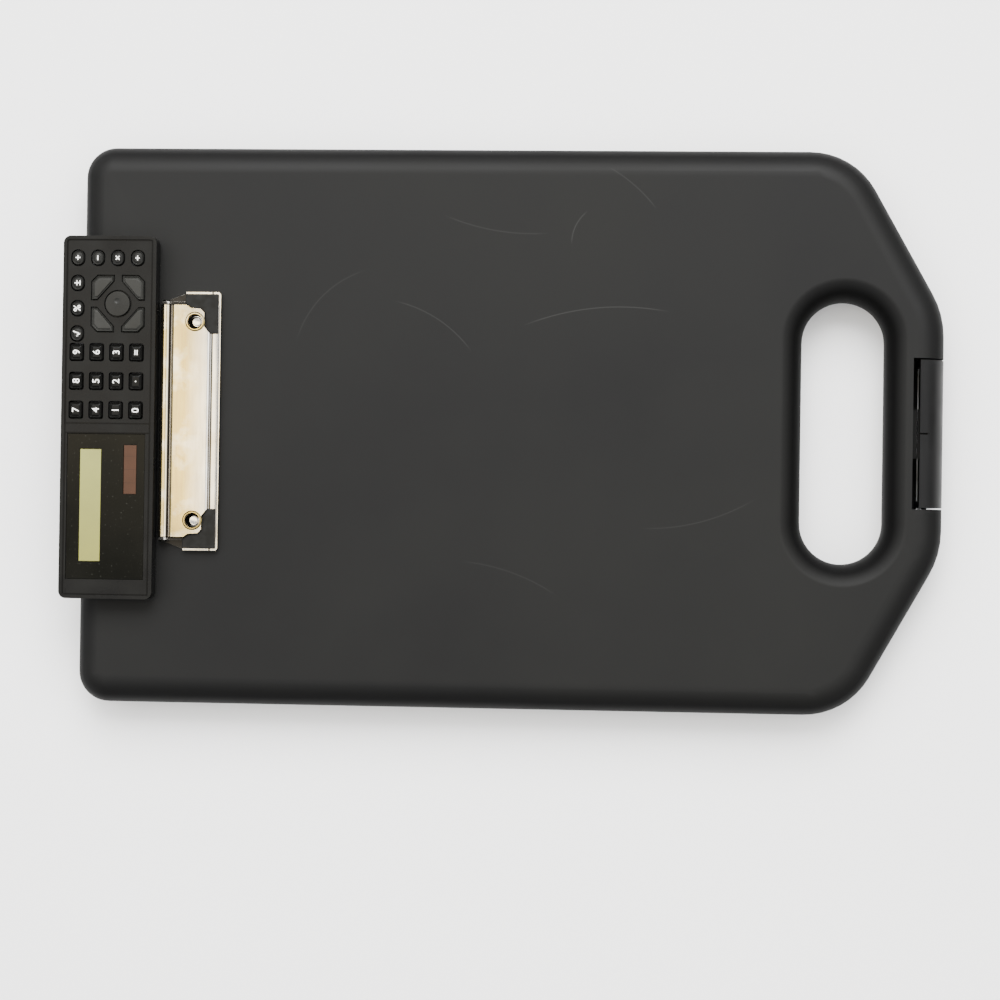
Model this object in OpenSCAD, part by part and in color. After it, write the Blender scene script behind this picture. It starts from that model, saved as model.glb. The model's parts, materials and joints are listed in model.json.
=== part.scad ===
// Storage clipboard box: a flat two-shell case with a hinged lid, a carrying handle, a swinging
// latch, a sprung paper clip and a pocket calculator that is fixed over the hinge end of the lid.
// Origin: centre of the underside. +X runs to the handle end, +Z is up, the lid is closed.

/* [Case] */
// Overall length, from the hinge end to the handle end
case_l = 391; // [370:1:420]
// Overall width
case_w = 254; // [240:1:280]
// Height of the closed case
case_h = 28; // [26:1:40]
// Wall thickness of both shells
wall = 2.5; // [2:0.1:3]
// Rounding of the outer edges, seen from the side
edge_r = 13; // [10:0.5:13]
// Corner radius at the hinge end, seen from above
hinge_corner_r = 14; // [14:1:24]
// Length along X of the slanted corners at the handle end
slant_run = 41; // [34:1:50]
// Length of the straight edge between the slanted corners
nose_w = 108; // [96:1:120]
// Corner radius where a long side meets a slanted corner
side_corner_r = 34; // [26:1:40]
// Corner radius where a slanted corner meets the straight end
nose_corner_r = 40; // [30:1:44]
// Gap between the two shells when the lid is closed
parting_gap = 0.2; // [0.1:0.05:0.4]
// Height of the locating lip above the parting plane
lip_rise = 1.8; // [1:0.1:2.4]
// Thickness of the locating lip
lip_t = 1.5; // [1:0.1:2]

/* [Handle] */
// Width of the handle hole
hole_w = 37; // [32:1:42]
// Length of the handle hole
hole_l = 118; // [105:1:130]
// Width of the handle bar between the hole and the end of the case
handle_bar = 26.5; // [26.5:0.5:34]
// Distance from the hole's edge to the storage compartment's end wall
rib_setback = 14; // [13:1:24]

/* [Lid hinge] */
// Outer diameter of the hinge knuckles
knuckle_d = 6.4; // [6:0.1:7]
// Diameter of the hinge pin
hinge_pin_d = 3; // [2.5:0.1:3.2]
// Length of the row of knuckles
hinge_l = 120; // [90:1:140]
// Number of knuckles, shared by turns between base and lid
knuckles = 5; // [5:2:9]

/* [Latch] */
// Width of the recess that the latch lies in
recess_w = 67.4; // [56:0.2:76]
// Depth of the recess, in from the end of the case
recess_d = 14.5; // [13:0.5:16]
// Open gap between the latch and the recess, at its back
latch_gap = 3.1; // [2.6:0.1:3.6]
// Gap between the latch and the recess, at each side
latch_side_gap = 1.7; // [0.6:0.1:2.4]
// Wall thickness of the latch
latch_wall = 2.4; // [2:0.1:2.8]
// Diameter of the latch pin
latch_pin_d = 2.5; // [2:0.1:3]
// Width of the hook and of the lid's catch
hook_w = 22; // [12:1:30]

/* [Clip] */
// Length of the clip's jaw along the lid
jaw_l = 116.8; // [100:0.4:130]
// Distance of the clip's middle from the case's middle
clip_shift = 1.4; // [-4:0.2:6]
// Distance from the hinge end of the case to the clip's rod
clip_setback = 41; // [40.4:0.1:52]
// Reach of the jaw from the rod to its front lip
jaw_reach = 24.2; // [23:0.1:30]
// Sheet thickness of the jaw
jaw_t = 0.7; // [0.6:0.05:0.9]
// Diameter of the rod that the jaw turns on
rod_d = 1.8; // [1.6:0.1:2]
// Height of the rod above the lid
rod_rise = 4; // [3.8:0.1:5]
// Thickness of the clip's base plate
plate_t = 0.8; // [0.6:0.05:1]
// Distance from each end of the jaw to its rivet
rivet_inset = 13.6; // [12.6:0.2:30]
// Wire diameter of the clip's spring
spring_wire = 0.6; // [0.5:0.05:0.6]
// Turns of the clip's spring
spring_turns = 9; // [5:1:14]

/* [Calculator] */
// Length of the calculator, across the case
calc_l = 163.4; // [160:0.2:176]
// Width of the calculator, along the case
calc_w = 42.4; // [42:0.1:43.4]
// Height of the back half of its case
calc_back_h = 4.2; // [4:0.1:6]
// Height of the front half of its case
calc_front_h = 3.8; // [3.4:0.1:5]
// How far the calculator stands out past the hinge end of the case
calc_overhang = 5; // [4.4:0.1:8]
// Distance of the calculator's middle from the case's middle
calc_shift = 2.4; // [-4:0.2:6]
// Wall thickness of the calculator's case
calc_wall = 1.4; // [1.2:0.1:1.6]
// Height of the keys above the calculator's face
key_rise = 0.8; // [0.5:0.1:1]
// Travel of the keys
key_travel = 0.8; // [0.5:0.05:0.8]
// Spacing of the keys along the case
key_pitch_x = 9.05; // [8.6:0.05:9.3]
// Spacing of the number keys across the case
key_pitch_y = 13; // [12:0.05:13.2]
// Gap between a key and its hole
key_gap = 0.3; // [0.2:0.05:0.4]

/* [Hidden] */
$fn = 48;
skin_fn = 48;      // facets round the corners of the two shells
arc_steps = 8;     // points along each rounded corner or edge
cut = 1;           // how far a cutter runs past what it cuts
run_fit = 0.05;    // radial clearance of a pin in its hole
seat_gap = 0.05;   // gap between pieces that are fixed to each other
swing_gap = 0.4;   // gap round pieces that turn past each other

case_colour = "#3b3b3b";
steel_colour = "#c9c6c0";
black_colour = "#1e1e1d";
key_colour = "#323230";

// ---- heights of the case ----
half_h = (case_h - parting_gap) / 2;
parting_z = case_h / 2;
base_top = half_h;
nose_x = case_l / 2;
rear_x = -case_l / 2;

// ---- outline of the case ----
outline = [[rear_x, -case_w / 2, hinge_corner_r],
           [nose_x - slant_run, -case_w / 2, side_corner_r],
           [nose_x, -nose_w / 2, nose_corner_r],
           [nose_x, nose_w / 2, nose_corner_r],
           [nose_x - slant_run, case_w / 2, side_corner_r],
           [rear_x, case_w / 2, hinge_corner_r]];
function flat(p) = [p.x, p.y];
function unit(v) = v / norm(v);
function round_centre(a, p, b, r) =
    let (u = unit(a - p), v = unit(b - p)) p + unit(u + v) * r / sqrt((1 - u * v) / 2);
function corner_at(i) =
    let (n = len(outline))
    round_centre(flat(outline[(i + n - 1) % n]), flat(outline[i]), flat(outline[(i + 1) % n]),
                 outline[i].z);
function normal_angle(a, b) = atan2(a.x - b.x, b.y - a.y);
function corner_arc(i, inset) =
    let (n = len(outline), c = corner_at(i), r = outline[i].z - inset,
         a0 = normal_angle(outline[(i + n - 1) % n], outline[i]),
         a1 = normal_angle(outline[i], outline[(i + 1) % n]),
         turn = (a1 - a0 + 360) % 360)
    [for (k = [0 : arc_steps]) c + r * [cos(a0 + turn * k / arc_steps), sin(a0 + turn * k / arc_steps)]];
function outline_points(inset) = [for (i = [0 : len(outline) - 1]) each corner_arc(i, inset)];

// half section of one corner of a shell, from its centre line outwards
function corner_section(r, edge, h) =
    concat([[0, 0]],
           [for (k = [0 : arc_steps]) let (a = 90 * k / arc_steps)
               [r - edge + edge * sin(a), edge - edge * cos(a)]],
           [[r, h], [0, h]]);

// solid body with the case's outline and rounded lower edge, drawn smaller by inset all round
module slab(inset, h)
    hull() for (i = [0 : len(outline) - 1])
        translate([corner_at(i).x, corner_at(i).y, inset])
            rotate_extrude($fn = skin_fn)
                polygon(corner_section(outline[i].z - inset, edge_r - inset, h - inset));

// extrudes an X-Z drawing along Y from y0 to y1
module along_y(y0, y1)
    translate([0, y1, 0]) rotate([90, 0, 0]) linear_extrude(y1 - y0) children();
module centred_y(w) along_y(-w / 2, w / 2) children();
module pin_y(x, z, r, y0, y1)
    translate([x, y0, z]) rotate([-90, 0, 0]) cylinder(r = r, h = y1 - y0);
module both_sides() { children(); mirror([0, 1, 0]) children(); }
module upside_down() translate([0, 0, case_h]) mirror([0, 0, 1]) children();
module box(x, y, z) translate([x[0], y[0], z[0]]) cube([x[1] - x[0], y[1] - y[0], z[1] - z[0]]);

// ---- handle hole: straight wall with a rounded lead-in at the outer face ----
hole_x = nose_x - handle_bar - hole_w / 2;
hole_end = (hole_l - hole_w) / 2;
crease = 0.3;      // the rounding meets the face at a faint crease, as moulded
module hole_section(r, edge) {
    translate([0, -cut]) square([r, case_h]);
    difference() {
        translate([0, -cut]) square([r + edge, cut + edge - crease]);
        translate([r + edge, edge - crease]) circle(r = edge);
    }
}
module hole_form(grow)
    translate([hole_x, 0, grow]) {
        for (s = [-1, 1]) translate([0, s * hole_end, 0])
            rotate_extrude() hole_section(hole_w / 2 + grow, edge_r - grow);
        centred_y(2 * hole_end) {
            hole_section(hole_w / 2 + grow, edge_r - grow);
            mirror([1, 0]) hole_section(hole_w / 2 + grow, edge_r - grow);
        }
    }

// ---- latch recess ----
recess_x = nose_x - recess_d;
latch_x = recess_x + latch_gap;
latch_w = recess_w - 2 * latch_side_gap;
latch_pin_setback = 6.7;
latch_pin_x = nose_x - latch_pin_setback;
latch_pin_z = 4.6;
latch_barrel_r = 3;
sill_x = latch_pin_x - latch_barrel_r - swing_gap;
sill_t = 3;
module recess_block()
    box([recess_x - wall, nose_x + cut], [-recess_w / 2 - wall, recess_w / 2 + wall], [-cut, case_h]);
module recess_cut(from_x, from_z)
    box([from_x, nose_x + cut], [-recess_w / 2, recess_w / 2], [from_z, case_h]);

// ---- hinge ----
hinge_offset = 1.2;        // the hinge's axis stands this far outside the case
hinge_x = rear_x - hinge_offset;
hinge_z = parting_z;
knuckle_r = knuckle_d / 2;
knuckle_step = hinge_l / knuckles;
hinge_pad_t = 2.5;
hinge_pad_h = 5;
function knuckle_y(k) = -hinge_l / 2 + k * knuckle_step;
module knuckle_row(first, side)
    for (k = [first : 2 : knuckles - 1]) {
        pin_y(hinge_x, hinge_z, knuckle_r, knuckle_y(k) + swing_gap / 2, knuckle_y(k + 1) - swing_gap / 2);
        box([hinge_x, rear_x + wall], [knuckle_y(k) + swing_gap / 2, knuckle_y(k + 1) - swing_gap / 2],
            side > 0 ? [hinge_z + parting_gap / 2, hinge_z + knuckle_r] : [hinge_z - knuckle_r, base_top]);
    }
module knuckle_room(first)
    for (k = [first : 2 : knuckles - 1])
        pin_y(hinge_x, hinge_z, knuckle_r + swing_gap, knuckle_y(k) - swing_gap / 2,
              knuckle_y(k + 1) + swing_gap / 2);
module hinge_bore() pin_y(hinge_x, hinge_z, hinge_pin_d / 2 + run_fit, -hinge_l / 2 - cut, hinge_l / 2 + cut);
module hinge_pad()
    box([rear_x, rear_x + wall + hinge_pad_t], [-hinge_l / 2 - wall, hinge_l / 2 + wall],
        [half_h - hinge_pad_h, case_h]);

// one shell, open at the top; children are solid blocks that stay inside the hollow
module shell_half()
    difference() {
        slab(0, half_h);
        difference() {
            slab(wall, half_h + cut);
            hole_form(wall);
            recess_block();
            hinge_pad();
            children();
        }
        hole_form(0);
    }

// ---- locating lip round the base's rim ----
lip_clear = 0.3;
lip_root = 2;
lip_free_end = 16;
module rim_band(outer, inner, z)
    translate([0, 0, z[0]]) linear_extrude(z[1] - z[0]) difference() {
        polygon(outline_points(outer));
        polygon(outline_points(inner));
    }
module locating_lip() {
    difference() {
        union() {
            rim_band(wall / 2, wall + lip_clear + lip_t, [base_top - lip_root, base_top]);
            rim_band(wall + lip_clear, wall + lip_clear + lip_t, [base_top - lip_root, parting_z + lip_rise]);
        }
        box([rear_x - cut, rear_x + lip_free_end], [-case_w, case_w], [0, case_h]);
        box([recess_x - wall - lip_t, nose_x + cut],
            [-recess_w / 2 - wall - lip_t, recess_w / 2 + wall + lip_t], [0, case_h]);
    }
}

rib_x = hole_x - hole_w / 2 - rib_setback;
module base_shell() color(case_colour)
    difference() {
        union() {
            shell_half() box([rib_x - wall, rib_x], [-case_w, case_w], [0, case_h]);
            knuckle_row(0, -1);
            locating_lip();
        }
        recess_cut(recess_x, sill_t);
        recess_cut(sill_x, -cut);
        knuckle_room(1);
        hinge_bore();
        pin_y(latch_pin_x, latch_pin_z, latch_pin_d / 2 + run_fit, -recess_w / 2 - wall, recess_w / 2 + wall);
    }

// ---- lid ----
catch_reach = 2.4;
catch_z = case_h - 8.7;
catch_t = 2;
boss_r = 3.2;
boss_h = 5.5;
boss_floor = 1;            // plastic left under a screw at the foot of its boss
rivet_r = 1.5;
rivet_reach = 13.5;        // from the clip's rod to its rivets
rivet_x = rear_x + clip_setback + rivet_reach;
rivet_pitch = jaw_l - 2 * rivet_inset;
bracket_screw_r = 1.4;
screw_spread = 96;
screw_setback = 24;
screw_x = rear_x + screw_setback;
module at_rivets()
    for (s = [-1, 1]) translate([rivet_x, clip_shift + s * rivet_pitch / 2, case_h]) children();
module at_bracket_screws()
    for (s = [-1, 1]) translate([screw_x, calc_shift + s * screw_spread / 2, case_h]) children();
module lid_shell() color(case_colour)
    difference() {
        union() {
            upside_down() shell_half();
            knuckle_row(1, 1);
            at_bracket_screws() translate([0, 0, -boss_h - wall]) cylinder(r = boss_r, h = boss_h + wall);
            box([recess_x - wall, recess_x], [-hook_w / 2, hook_w / 2], [catch_z, catch_z + catch_t]);
        }
        difference() {
            recess_cut(recess_x, -cut);
            box([recess_x - cut, recess_x + catch_reach], [-hook_w / 2, hook_w / 2],
                [catch_z, catch_z + catch_t]);
        }
        knuckle_room(0);
        hinge_bore();
        at_rivets() translate([0, 0, -wall - cut]) cylinder(r = rivet_r + run_fit, h = wall + 2 * cut);
        at_bracket_screws() translate([0, 0, -boss_h - wall + boss_floor])
            cylinder(r = bracket_screw_r + run_fit, h = boss_h + wall + cut);
    }

module hinge_pin() color(steel_colour)
    pin_y(hinge_x, hinge_z, hinge_pin_d / 2, -hinge_l / 2 + swing_gap, hinge_l / 2 - swing_gap);

// ---- latch: a bowed cover that follows the end of the case and turns on a pin at its foot ----
latch_end_t = 2;
hook_t = 2;
hook_lift = 0.2;
hook_side_gap = 0.15;
slit_w = 0.7;
slit_l = 3.8;
module end_section(inset) {
    hull_x = nose_x - edge_r;
    translate([hull_x, edge_r]) circle(r = edge_r - inset);
    translate([hull_x, case_h - edge_r]) circle(r = edge_r - inset);
    translate([hull_x, edge_r]) square([edge_r - inset, case_h - 2 * edge_r]);
}
module latch_section() intersection() {
    end_section(0);
    translate([latch_x, latch_pin_z]) square([recess_d, case_h]);
}
module latch() color(case_colour)
    difference() {
        union() {
            centred_y(latch_w) difference() {
                latch_section();
                end_section(latch_wall);
            }
            both_sides() along_y(latch_w / 2 - latch_end_t, latch_w / 2) difference() {
                latch_section();
                translate([latch_x - cut, 0])
                    square([latch_pin_x - latch_barrel_r - latch_x + cut, latch_pin_z + latch_barrel_r]);
            }
            pin_y(latch_pin_x, latch_pin_z, latch_barrel_r, -latch_w / 2, latch_w / 2);
            box([recess_x + catch_reach + hook_side_gap, nose_x - latch_wall - 1], [-hook_w / 2, hook_w / 2],
                [catch_z + catch_t + hook_lift, catch_z + catch_t + hook_lift + hook_t]);
        }
        pin_y(latch_pin_x, latch_pin_z, latch_pin_d / 2 + run_fit, -latch_w, latch_w);
        box([latch_x - cut, latch_x + slit_l], [-slit_w / 2, slit_w / 2],
            [case_h - latch_wall - cut, case_h + cut]);
    }
module latch_pin() color(steel_colour)
    pin_y(latch_pin_x, latch_pin_z, latch_pin_d / 2, -recess_w / 2 - wall + seat_gap,
          recess_w / 2 + wall - seat_gap);

// ---- clip: base plate, jaw, rod, spring, grips and rivets ----
rod_x = rear_x + clip_setback;
rod_z = case_h + rod_rise;
rod_r = rod_d / 2;
curl_r = rod_r + spring_wire + 0.6;      // middle of the jaw's curled sheet
end_depth = 6.1;                         // from the end of the jaw to the end of its barrel
barrel_l = jaw_l - 2 * end_depth;
ear_t = 1;
ear_gap = 0.5;
ear_y = barrel_l / 2 + ear_gap;
grip_arm = 18.9;                         // length of a grip along the front lip
grip_depth = 15.8;                       // length of a grip along the end of the jaw
rim_t = 0.9;                             // thickness of the bright rim round a grip
rim_corner = 1.4;
rim_top = -0.9;                          // top of the rim, from the rod
front_x = jaw_reach + jaw_t / 2;
ear_front = front_x - grip_depth;
lip_foot = 0.5;                          // height of the front lip above the lid
plate_front = jaw_reach - 2.7;
plate_rear = -2.2;
rivet_head_r = 2.8;
rivet_window_r = 3.3;
grip_floor = 1.2;                        // height of the grips' underside above the lid
grip_crown = 0.6;                        // top of the grips, from the rod
function arc(r, a0, a1, n) = [for (k = [0 : n]) let (a = a0 + (a1 - a0) * k / n) r * [cos(a), sin(a)]];
// middle line of the jaw, from its rear flange over the rod to the front lip
plateau_z = curl_r + jaw_t / 2 - 0.1;
groove_z = 1.1;
jaw_line = concat(arc(curl_r, 190, 55, 10),
                  [[curl_r + 0.2, groove_z], [curl_r + 0.8, groove_z], [curl_r + 1.6, plateau_z - 0.4],
                   [curl_r + 2.4, plateau_z], [jaw_reach - 5.3, plateau_z - 0.9],
                   [jaw_reach - 4.6, plateau_z - 1.4], [jaw_reach - 4.2, -0.5], [jaw_reach - 3.2, -0.8],
                   [jaw_reach - 2, -0.6], [jaw_reach - 0.6, -0.9], [jaw_reach, -1.5],
                   [jaw_reach, lip_foot - rod_rise]]);
function step_normal(p, q) = let (d = unit(q - p)) [-d.y, d.x];
function joint_normal(line, i) =
    let (n = len(line),
         a = step_normal(line[max(i - 1, 0)], line[max(i, 1)]),
         b = step_normal(line[min(i, n - 2)], line[min(i + 1, n - 1)]),
         m = unit(a + b))
    m / max(m * a, 0.6);
function strip(line, t) = concat(
    [for (i = [0 : len(line) - 1]) line[i] + joint_normal(line, i) * t / 2],
    [for (i = [len(line) - 1 : -1 : 0]) line[i] - joint_normal(line, i) * t / 2]);
// plan of the corner that is cut out of the jaw, where a rubber grip shows
module corner_plan(inset)
    translate([front_x, jaw_l / 2]) polygon([
        [-grip_depth, -end_depth + 0.6 + inset], [-grip_depth + 2.7, -end_depth - 1.4 + inset],
        [-8.6, -end_depth - 1.7 + inset], [-7 + inset, -end_depth - 3.4], [-7 + inset, 3.2 - grip_arm],
        [-4.5 + inset, -grip_arm], [-rim_t, -grip_arm], [-rim_t, cut], [-grip_depth, cut]]);
// plan of the jaw's outline, drawn smaller by inset all round
module rim_plan(inset)
    hull() for (s = [-1, 1]) {
        translate([front_x - rim_corner, s * (jaw_l / 2 - rim_corner)]) circle(r = rim_corner - inset);
        translate([ear_front, s * (jaw_l / 2 - rim_corner)]) square(2 * (rim_corner - inset), center = true);
    }
module rim(z) translate([0, 0, z[0]]) linear_extrude(z[1] - z[0]) difference() {
    rim_plan(0);
    rim_plan(rim_t);
    translate([ear_front - rim_corner, -jaw_l / 2]) square([rim_corner, jaw_l]);
}
module at_clip() translate([rod_x, clip_shift, rod_z]) children();
module at_windows(z) for (s = [-1, 1]) translate([rivet_reach, s * rivet_pitch / 2, z]) children();
module clip_jaw() color(steel_colour) at_clip()
    difference() {
        union() {
            difference() {
                centred_y(barrel_l) polygon(strip(jaw_line, jaw_t));
                both_sides() translate([0, 0, -rod_rise]) linear_extrude(2 * rod_rise) corner_plan(0);
            }
            both_sides() pin_y(0, 0, curl_r, barrel_l / 2 - ear_t, barrel_l / 2);
            rim([grip_floor - rod_rise, rim_top]);
            box([front_x - rim_t, front_x], [rim_corner - jaw_l / 2, jaw_l / 2 - rim_corner],
                [lip_foot - rod_rise, rim_top]);
        }
        pin_y(0, 0, rod_r + run_fit, -jaw_l / 2, jaw_l / 2);
        at_windows(-rod_rise) cylinder(r = rivet_window_r, h = 2 * rod_rise);
    }
module clip_grips() color(black_colour) at_clip()
    both_sides() translate([0, 0, grip_floor - rod_rise]) linear_extrude(rod_rise - grip_floor + grip_crown)
        intersection() {
            rim_plan(rim_t + seat_gap);
            corner_plan(seat_gap);
        }
module clip_base() color(steel_colour) at_clip()
    difference() {
        union() {
            translate([0, 0, seat_gap - rod_rise]) linear_extrude(plate_t - seat_gap) hull() {
                translate([plate_rear, -ear_y - ear_t]) square([cut, 2 * (ear_y + ear_t)]);
                translate([ear_front, (rim_t - jaw_l) / 2])
                    square([plate_front - ear_front, jaw_l - rim_t]);
            }
            both_sides() {
                pin_y(0, 0, rod_r + 1.2, ear_y, ear_y + ear_t);
                box([plate_rear, ear_front - seat_gap], [ear_y, ear_y + ear_t],
                    [plate_t - rod_rise - 0.1, 0]);
            }
        }
        pin_y(0, 0, rod_r + run_fit, -jaw_l, jaw_l);
        at_windows(-rod_rise - cut) cylinder(r = rivet_r + run_fit, h = plate_t + 2 * cut);
    }
rod_head_r = 1.6;
rod_head_t = 0.6;
module clip_rod() color(steel_colour) at_clip() {
    rod_end = ear_y + ear_t + seat_gap;
    pin_y(0, 0, rod_r, -rod_end, rod_end);
    both_sides() pin_y(0, 0, rod_head_r, rod_end, rod_end + rod_head_t);
}
// torsion spring: a coil round the rod with one leg on the base plate and one under the jaw
coil_gap = 0.1;
coil_r = rod_r + spring_wire / 2 + coil_gap;
coil_steps = 12;
coil_pitch = spring_wire + 0.15;
leg_l = 9;
leg_low = [leg_l, plate_t - rod_rise + spring_wire / 2 + coil_gap];
leg_bend = [curl_r + 0.6, groove_z - jaw_t / 2 - spring_wire / 2 - 0.25];
leg_high = [leg_l, plateau_z - jaw_t / 2 - spring_wire / 2 - 0.4];
coil_start = -90;
coil_turn = 360 * spring_turns + 210;
coil_count = ceil(coil_turn / 360 * coil_steps);
coil_half = coil_pitch * coil_turn / 720;
coil_points = concat(
    [[leg_low.x, -coil_half, leg_low.y]],
    [for (k = [0 : coil_count]) let (a = coil_start - coil_turn * k / coil_count)
        [coil_r * cos(a), coil_half * (2 * k / coil_count - 1), coil_r * sin(a)]],
    [[leg_bend.x, coil_half, leg_bend.y], [leg_high.x, coil_half, leg_high.y]]);
function tangent(pts, i) = unit(pts[min(i + 1, len(pts) - 1)] - pts[max(i - 1, 0)]);
wire_sides = 8;
function ring(pts, i, r) =
    let (t = tangent(pts, i), u = unit(cross(t, [0, 1, 0])), v = cross(u, t))
    [for (k = [0 : wire_sides - 1]) let (a = 360 * k / wire_sides) pts[i] + r * (u * cos(a) + v * sin(a))];
module wire(pts, r) {
    n = len(pts);
    polyhedron(
        [for (i = [0 : n - 1]) each ring(pts, i, r)],
        concat([[for (k = [0 : wire_sides - 1]) k]],
               [for (i = [0 : n - 2]) for (k = [0 : wire_sides - 1])
                   let (a = i * wire_sides + k, b = i * wire_sides + (k + 1) % wire_sides)
                   [a, a + wire_sides, b + wire_sides, b]],
               [[for (k = [wire_sides - 1 : -1 : 0]) (n - 1) * wire_sides + k]]));
}
module clip_spring() color(steel_colour) at_clip() wire(coil_points, spring_wire / 2);
rivet_head_h = 1.2;
rivet_dome_r = 5;
washer_t = 0.8;
washer_r = 4;
tail_r = 2.6;
tail_h = 0.8;
tail_z = -wall - washer_t - tail_h;
module clip_rivets() color(steel_colour) at_rivets() {
    translate([0, 0, plate_t + seat_gap]) intersection() {
        cylinder(r = rivet_head_r, h = rivet_head_h);
        translate([0, 0, rivet_head_h - rivet_dome_r]) sphere(r = rivet_dome_r);
    }
    translate([0, 0, tail_z]) cylinder(r = rivet_r, h = plate_t + rivet_head_h / 2 - tail_z);
    translate([0, 0, tail_z - seat_gap]) cylinder(r = tail_r, h = tail_h - seat_gap);
}
module clip_washers() color(steel_colour) at_rivets()
    translate([0, 0, -wall - washer_t - seat_gap]) difference() {
        cylinder(r = washer_r, h = washer_t);
        translate([0, 0, -cut]) cylinder(r = rivet_r + run_fit, h = washer_t + 2 * cut);
    }

// ---- bracket that carries the calculator over the rounded end of the lid ----
bracket_t = 1.6;
bracket_w = 120;
bracket_drop = 8;
calc_x = rear_x - calc_overhang + calc_w / 2;
bracket_inset = 2.4;
pad_t = 0.8;
pad_w = 44;
pad_depth = 14;
pad_spread = 68;                         // between the middles of the two pads
pad_setback = 3.5;                        // clear of the heads of the bracket's screws
bracket_top = case_h + bracket_t;
calc_z = bracket_top + pad_t;
screw_head_r = 2.5;
screw_head_h = 1;
module calc_bracket() color(black_colour)
    difference() {
        along_y(calc_shift - bracket_w / 2, calc_shift + bracket_w / 2) difference() {
            translate([calc_x - calc_w / 2 + bracket_inset, case_h - bracket_drop])
                square([calc_w - 2 * bracket_inset, bracket_drop + bracket_t]);
            translate([rear_x + edge_r, case_h - edge_r]) circle(r = edge_r + seat_gap);
            translate([rear_x + edge_r, 0]) square([case_l, case_h + seat_gap]);
            translate([rear_x - seat_gap, 0]) square([edge_r, case_h - edge_r]);
        }
        at_bracket_screws() {
            translate([0, 0, -cut]) cylinder(r = bracket_screw_r + run_fit, h = bracket_t + 2 * cut);
            translate([0, 0, bracket_t - screw_head_h - 0.2])
                cylinder(r1 = bracket_screw_r, r2 = screw_head_r + 0.2, h = screw_head_h + 0.21);
        }
    }
module bracket_screws() color(steel_colour) at_bracket_screws() {
    translate([0, 0, -boss_h]) cylinder(r = bracket_screw_r, h = boss_h + bracket_t - screw_head_h);
    translate([0, 0, bracket_t - screw_head_h - 0.1])
        cylinder(r1 = bracket_screw_r, r2 = screw_head_r, h = screw_head_h);
}
module adhesive_pads() color(black_colour)
    for (s = [-1, 1])
        translate([screw_x - pad_setback - pad_depth, calc_shift + (s * pad_spread - pad_w) / 2, bracket_top])
            cube([pad_depth, pad_w, pad_t]);

// ---- calculator: drawn about its own middle, with z = 0 at its back ----
calc_corner = 3.4;
face_z = calc_back_h + calc_front_h;
plate_z = face_z - calc_wall;            // underside of the face
rim_w = 1.6;
rim_h = 0.4;
screen_gap = 0.8;                        // depth of the window's recess
calc_in_l = calc_l / 2 - calc_wall;
calc_in_w = calc_w / 2 - calc_wall;
panel_rise = 0.3;                        // the display's end stands a little higher than the keys' face
panel_top = -2.9;
screen_fit = 0.15;                       // gap round the display and the solar cell in their openings
module at_calc() translate([calc_x, calc_shift, calc_z]) children();
module round_rect(w, l, r) {
    square([w - 2 * r, l], center = true);
    square([w, l - 2 * r], center = true);
    for (x = [-1, 1], y = [-1, 1]) translate([x * (w / 2 - r), y * (l / 2 - r)]) circle(r = r);
}
case_screw_inset = 1.5;
module calc_screw_places()
    for (x = [-1, 1], y = [calc_in_l - case_screw_inset, -4.8, 2.6 - calc_in_l])
        translate([x * (calc_in_w - case_screw_inset), y, 0]) children();
screw_boss_r = 1.9;
case_screw_r = 0.8;
case_head_r = 1.5;
case_head_h = 0.8;

// battery
cell_r = 5.8;
cell_h = 3.1;
cell_x = 10;
cell_y = -62;
door_r = cell_r + 1.4;
door_t = 1;
door_slot = [6, 1, 0.4];
cell_well = 1.2;           // rise of the battery's well above the back's wall
post_r = 1.6;
module calc_back_case() color(black_colour) at_calc()
    difference() {
        union() {
            difference() {
                linear_extrude(calc_back_h - seat_gap) round_rect(calc_w, calc_l, calc_corner);
                translate([0, 0, calc_wall]) linear_extrude(calc_back_h)
                    round_rect(2 * calc_in_w, 2 * calc_in_l, calc_corner - calc_wall);
            }
            calc_screw_places() cylinder(r = screw_boss_r, h = calc_back_h - seat_gap);
            translate([cell_x, cell_y, 0]) cylinder(r = door_r + calc_wall, h = calc_wall + cell_well);
            for (x = [-1, 1], y = [-1, 1])
                translate([x * pcb_size.x / 4, pcb_y + y * pcb_size.y * 0.3, 0])
                    cylinder(r = post_r, h = pcb_z - seat_gap);
        }
        translate([cell_x, cell_y, -cut]) cylinder(r = door_r + seat_gap, h = door_t + cut);
        translate([cell_x, cell_y, -cut]) cylinder(r = cell_r + 0.2, h = calc_back_h);
        calc_screw_places() {
            translate([0, 0, -cut]) cylinder(r = case_screw_r + run_fit, h = face_z);
            translate([0, 0, -cut]) cylinder(r = case_head_r + run_fit, h = case_head_h + cut);
        }
    }
module calc_battery_door() color(black_colour) at_calc()
    translate([cell_x, cell_y, 0]) difference() {
        cylinder(r = door_r, h = door_t);
        translate([0, 0, door_slot.z / 2]) cube(door_slot + [0, 0, seat_gap], center = true);
    }
module calc_battery() color(steel_colour) at_calc()
    translate([cell_x, cell_y, door_t + seat_gap]) cylinder(r = cell_r, h = cell_h);

// window, display and solar cell
window_w = 35.3;
window_l = 65.4;
window_place = [-0.45, -40.2];
window_t = 0.7;
lcd_place = [-7.5, -39.6];
lcd_size = [9.5, 50.4];
lcd_frame = 1.6;
lcd_t = 1.6;
solar_place = [10.5, -23.4];
solar_size = [5.7, 22];
solar_frame = 1;
solar_t = 0.8;
pocket_z = face_z - screen_gap;
screen_z = pocket_z + window_t - 0.25;   // top of the display and of the solar cell
module at_plan(p, z) translate([p.x, p.y, z]) children();
module slab_plan(size, t) translate([0, 0, t / 2]) cube([size.x, size.y, t], center = true);

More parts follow.
